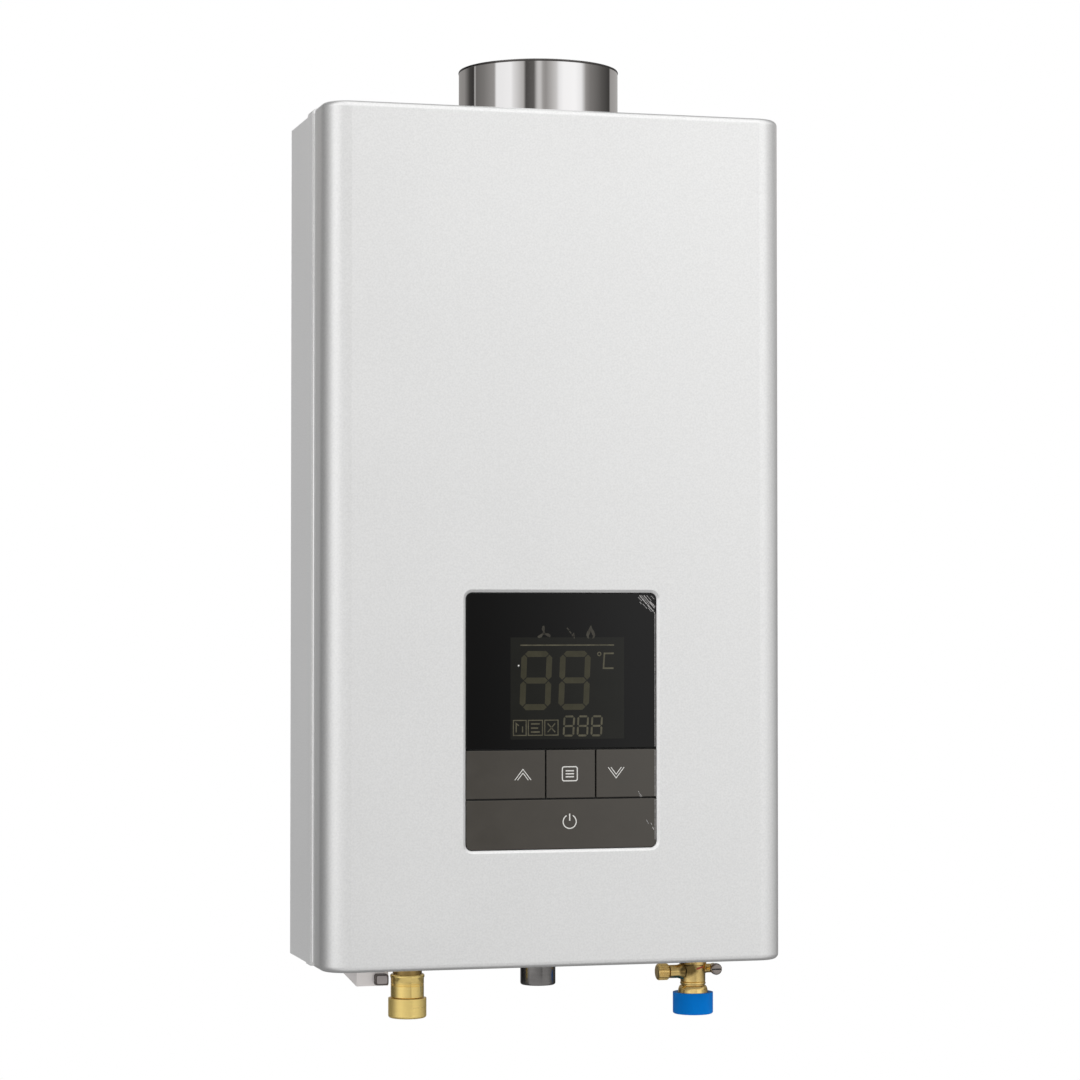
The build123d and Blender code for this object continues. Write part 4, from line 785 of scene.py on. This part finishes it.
window, bung = top_left("display_window"), top_left("power_inlet_bung")
up, menu, down, power = [top_left(key + "_button") for key in ("up", "menu", "down", "power")]
for name, shapes, place, proud, body, mat, slot in (
    ("display_field", field, window, 0.012, "heater", FIELD, "display_black"),
    ("display_digits", big_digits(), window, 0.03, "heater", DIM, "display_black"),
    ("display_marks", small_marks(), window, 0.03, "heater", BRIGHT, "display_black"),
    ("display_modes", mode_signs(), window, 0.03, "heater", FAINT, "display_black"),
    ("display_spark", spark, window, 0.04, "heater", LEGEND, "display_black"),
    ("bung_painted_light_face", bung_pad(), bung, 0.25, "heater", BUNG_PAINTED_LIGHT, "bung_rubber"),
    ("relief_slot_painted_shade", slot_painted_shade, slot_middle, 0.35, "relief", DARK, "screw_steel"),
    ("film_corner", film_creases(corner_creases), window, 0.05, "heater", FILM_PAINTED_SHEEN, "display_black"),
    ("film_down_key", film_creases(down_key_creases), down, 0.05, "down_key", FILM_PAINTED_SHEEN, "key_grey"),
    ("film_power_key", film_creases(power_key_creases), power, 0.05, "power_key", FILM_PAINTED_SHEEN, "key_grey"),
    ("up_symbol", chevrons(38.9, -16.2, 1), up, 0.03, "up_key", LEGEND, "key_grey"),
    ("menu_symbol", menu_box(16.2, -16.0), menu, 0.03, "menu_key", LEGEND, "key_grey"),
    ("down_symbol", chevrons(13.8, -15.6, -1), down, 0.03, "down_key", LEGEND, "key_grey"),
    ("power_symbol", power_mark(71.3, -14.9), power, 0.03, "power_key", LEGEND, "key_grey"),
):
    flat_marks(name, shapes, place, proud, body, mat)


# Light and floor, in metres
# Soft panels round the studio: degrees from the front towards the left, and how bright the panel is there.
# BANDS stand at the height that the flue collar mirrors, and SOFT is the wider light above and below them.
BANDS = [(-180, 0.32), (-150, 0.46), (-114, 0.38), (-110, 0.05), (-90, 0.11), (-66, 0.23), (-58, 0.34),
         (-50, 1.02), (-40, 1.18), (-22, 1.18), (-15, 1.02), (-11, 0.72), (-4, 0.53), (4, 0.35), (8, 0.40),
         (12, 0.69), (16, 0.66), (21, 0.13), (33, 0.08), (36, 0.50), (51, 0.90), (55, 1.10), (78, 1.03),
         (81, 0.36), (100, 0.23), (117, 0.17), (119.5, 0.57), (122, 0.04), (133, 0.07), (150, 0.30),
         (180, 0.32)]
SOFT = [(-180, 0.40), (-150, 0.13), (-125, 0.13), (-105, 0.26), (-85, 0.62), (-60, 0.95), (-40, 1.10),
        (-22, 1.10), (-17.2, 1.45), (-15.8, 0.90), (-14.2, 0.42), (-11.5, 0.42), (-9, 0.79), (0, 0.89),
        (10, 0.98), (30, 1.14), (48, 1.40), (70, 1.38), (84, 0.90), (98, 0.46), (112, 0.13), (145, 0.03),
        (158, 0.18), (168, 0.35), (180, 0.40)]
BAND_WARMTH = 0.05
# By height, from straight down at 0 to straight up at 1: the level, where BANDS show, and where all is white
HEIGHTS = [(0.0, 0.32), (0.40, 0.49), (0.46, 0.70), (0.50, 0.94), (0.55, 1.0), (1.0, 1.0)]
BAND_ZONE = [(0.545, 0.0), (0.565, 1.0), (0.61, 1.0), (0.63, 0.0)]
CEILING = [(0.83, 0.0), (0.93, 1.0)]
CEILING_LEVEL = 1.1
# The white ceiling hangs in front of the heater: its middle leans this far forward from straight up
CEILING_LEAN = math.radians(30)
EVEN_LEVEL = 0.80  # of the light that dull surfaces get from all round

# The floor: its half width, how far below the heater it lies, and how white the camera sees it
FLOOR_HALF_WIDTH, FLOOR_DROP, FLOOR_GLOW, FLOOR_WHITE_SHARE = 6.0, 2.2, 1.06, 0.9
# Its own tone, its tones in mirrors, in front of the heater and beneath it, where the darker one is a
# painted shadow of the heater, and where these two meet
FLOOR_TONE, FLOOR_FRONT_TONE, FLOOR_PAINTED_SHADOW_TONE, FLOOR_TURN_Y = 0.48, 0.68, 0.13, (-1.3, -0.8)


def level_ramp(nodes, links, value, stops, warm=0.0):
    """A ramp of grey levels, whose darker ones are warmer where asked."""
    ramp = nodes.new("ShaderNodeValToRGB")
    points = ramp.color_ramp.elements
    while len(points) > 1:
        points.remove(points[-1])
    for i, (where, level) in enumerate(stops):
        stop = points[0] if i == 0 else points.new(where)
        stop.position = where
        warmth = warm * max(0.0, 1 - level) * level
        stop.color = (level + warmth, level, level - warmth, 1)
    links.new(value, ramp.inputs["Fac"])
    return ramp.outputs["Color"]


def mixed_shader(nodes, links, factor, first, second):
    mix = nodes.new("ShaderNodeMixShader")
    for socket, value in zip(mix.inputs, (factor, first, second)):
        links.new(value, socket)
    return mix.outputs[0]


def background(nodes, links, colour, strength=1.0):
    shade = nodes.new("ShaderNodeBackground")
    if isinstance(colour, tuple):
        shade.inputs["Color"].default_value = colour
    else:
        links.new(colour, shade.inputs["Color"])
    shade.inputs["Strength"].default_value = strength
    return shade.outputs[0]


def studio_panels(nodes, links):
    """The colour of the panels in each direction: round about, by height, and the ceiling over them."""
    place = nodes.new("ShaderNodeTexCoord")
    split = nodes.new("ShaderNodeSeparateXYZ")
    links.new(place.outputs["Generated"], split.inputs["Vector"])
    to_left = math_node(nodes, links, "MULTIPLY", split.outputs["X"], -1.0)
    to_front = math_node(nodes, links, "MULTIPLY", split.outputs["Y"], -1.0)
    angle = math_node(nodes, links, "ARCTAN2", to_left, to_front)
    share = math_node(nodes, links, "MULTIPLY_ADD", angle, 0.5 / math.pi, 0.5)
    rise = math_node(nodes, links, "MULTIPLY_ADD", split.outputs["Z"], 0.5, 0.5)
    lean_up = math_node(nodes, links, "MULTIPLY", split.outputs["Z"], math.cos(CEILING_LEAN))
    lean = math_node(nodes, links, "MULTIPLY_ADD", to_front, math.sin(CEILING_LEAN), lean_up)
    under_ceiling = math_node(nodes, links, "MULTIPLY_ADD", lean, 0.5, 0.5)
    bands, soft = [level_ramp(nodes, links, share, [((a + 180) / 360, level) for a, level in stops], warm)
                   for stops, warm in ((BANDS, BAND_WARMTH), (SOFT, 0.0))]
    heights, zone = [level_ramp(nodes, links, rise, stops) for stops in (HEIGHTS, BAND_ZONE)]
    ceiling = level_ramp(nodes, links, under_ceiling, CEILING)
    round_about = mixed(nodes, links, 1.0, mixed(nodes, links, zone, soft, bands), heights, "MULTIPLY")
    return mixed(nodes, links, ceiling, round_about, grey(CEILING_LEVEL))


def world_light():
    """White for the camera, even light for dull surfaces and a studio of soft panels for shiny ones."""
    world = bpy.data.worlds.new("studio")
    scene.world = world
    world.use_nodes = True
    world.cycles.sampling_method = "NONE"
    nodes, links = world.node_tree.nodes, world.node_tree.links
    nodes.clear()
    path = nodes.new("ShaderNodeLightPath").outputs
    studio = background(nodes, links, studio_panels(nodes, links))
    even = background(nodes, links, grey(1), EVEN_LEVEL)
    white = background(nodes, links, grey(1))
    seen = math_node(nodes, links, "MAXIMUM", path["Is Camera Ray"], path["Is Transmission Ray"])
    by_gloss = mixed_shader(nodes, links, path["Is Glossy Ray"], even, studio)
    out = nodes.new("ShaderNodeOutputWorld")
    links.new(mixed_shader(nodes, links, seen, by_gloss, white), out.inputs["Surface"])


def area_light(name, place, target, size, watts):
    """A flat lamp that looks at a target and shows in no mirror."""
    data = bpy.data.lights.new(name, "AREA")
    data.shape = "RECTANGLE"
    data.size, data.size_y = size
    data.energy = watts
    lamp = bpy.data.objects.new(name, data)
    scene.collection.objects.link(lamp)
    lamp.location = place
    lamp.rotation_euler = (Vector(target) - Vector(place)).to_track_quat("-Z", "Y").to_euler()
    lamp.visible_glossy = False


def floor_material():
    """White to the camera, pale to dull surfaces, and in mirrors darker beneath the heater, as a painted
    shadow.
    """
    mat, nodes, links, bsdf = new_material("pale_floor")
    bsdf.inputs["Roughness"].default_value = 0.9
    glow = nodes.new("ShaderNodeEmission")
    glow.inputs["Color"].default_value = grey(1)
    glow.inputs["Strength"].default_value = FLOOR_GLOW
    path = nodes.new("ShaderNodeLightPath").outputs
    place = nodes.new("ShaderNodeTexCoord")
    split = nodes.new("ShaderNodeSeparateXYZ")
    links.new(place.outputs["Object"], split.inputs["Vector"])
    painted_shadow_share = map_range(nodes, links, split.outputs["Y"], FLOOR_TURN_Y)
    mirrored = mixed(nodes, links, painted_shadow_share, grey(FLOOR_FRONT_TONE), grey(FLOOR_PAINTED_SHADOW_TONE))
    tone = mixed(nodes, links, path["Is Glossy Ray"], grey(FLOOR_TONE), mirrored)
    links.new(tone, bsdf.inputs["Base Color"])
    whitened = math_node(nodes, links, "MULTIPLY", path["Is Camera Ray"], FLOOR_WHITE_SHARE)
    seen = mixed_shader(nodes, links, whitened, bsdf.outputs[0], glow.outputs[0])
    links.new(seen, nodes["Material Output"].inputs["Surface"])
    return mat


def pale_floor():
    bm = bmesh.new()
    bmesh.ops.create_grid(bm, x_segments=8, y_segments=8, size=FLOOR_HALF_WIDTH)
    mesh = bpy.data.meshes.new("floor")
    bm.to_mesh(mesh)
    bm.free()
    mesh.materials.append(floor_material())
    floor = bpy.data.objects.new("floor", mesh)
    floor.location = (0, 0, cad_low.z - FLOOR_DROP)
    scene.collection.objects.link(floor)


world_light()
pale_floor()
area_light("key_light", place=(0.9, -1.7, 1.5), target=(0, -0.1, 0.1), size=(1.4, 1.4), watts=21)
area_light("fill_light", place=(0.5, -2.0, -0.9), target=(0, -0.1, -0.2), size=(1.2, 0.8), watts=5.0)

# The photo's camera, worked out from the edges of the case in it: its focal length in pixels of the photo,
# its place in metres, and how far it is tilted up and turned to the right
PHOTO_WIDTH_PIXELS, FOCAL_PIXELS, SENSOR_WIDTH = 1080, 3082.16, 36.0
CAMERA_PLACE, CAMERA_TILT, CAMERA_TURN = (-0.55272, -2.11740, -0.05379), 0.0249, 0.26442
camera_data = bpy.data.cameras.new("camera")
camera_data.sensor_width = SENSOR_WIDTH
camera_data.lens = FOCAL_PIXELS / PHOTO_WIDTH_PIXELS * SENSOR_WIDTH
camera = bpy.data.objects.new("camera", camera_data)
camera.location = CAMERA_PLACE
camera.rotation_euler = (math.pi / 2 + CAMERA_TILT, 0, -CAMERA_TURN)
scene.collection.objects.link(camera)
scene.camera = camera
scene.view_settings.view_transform = "Standard"
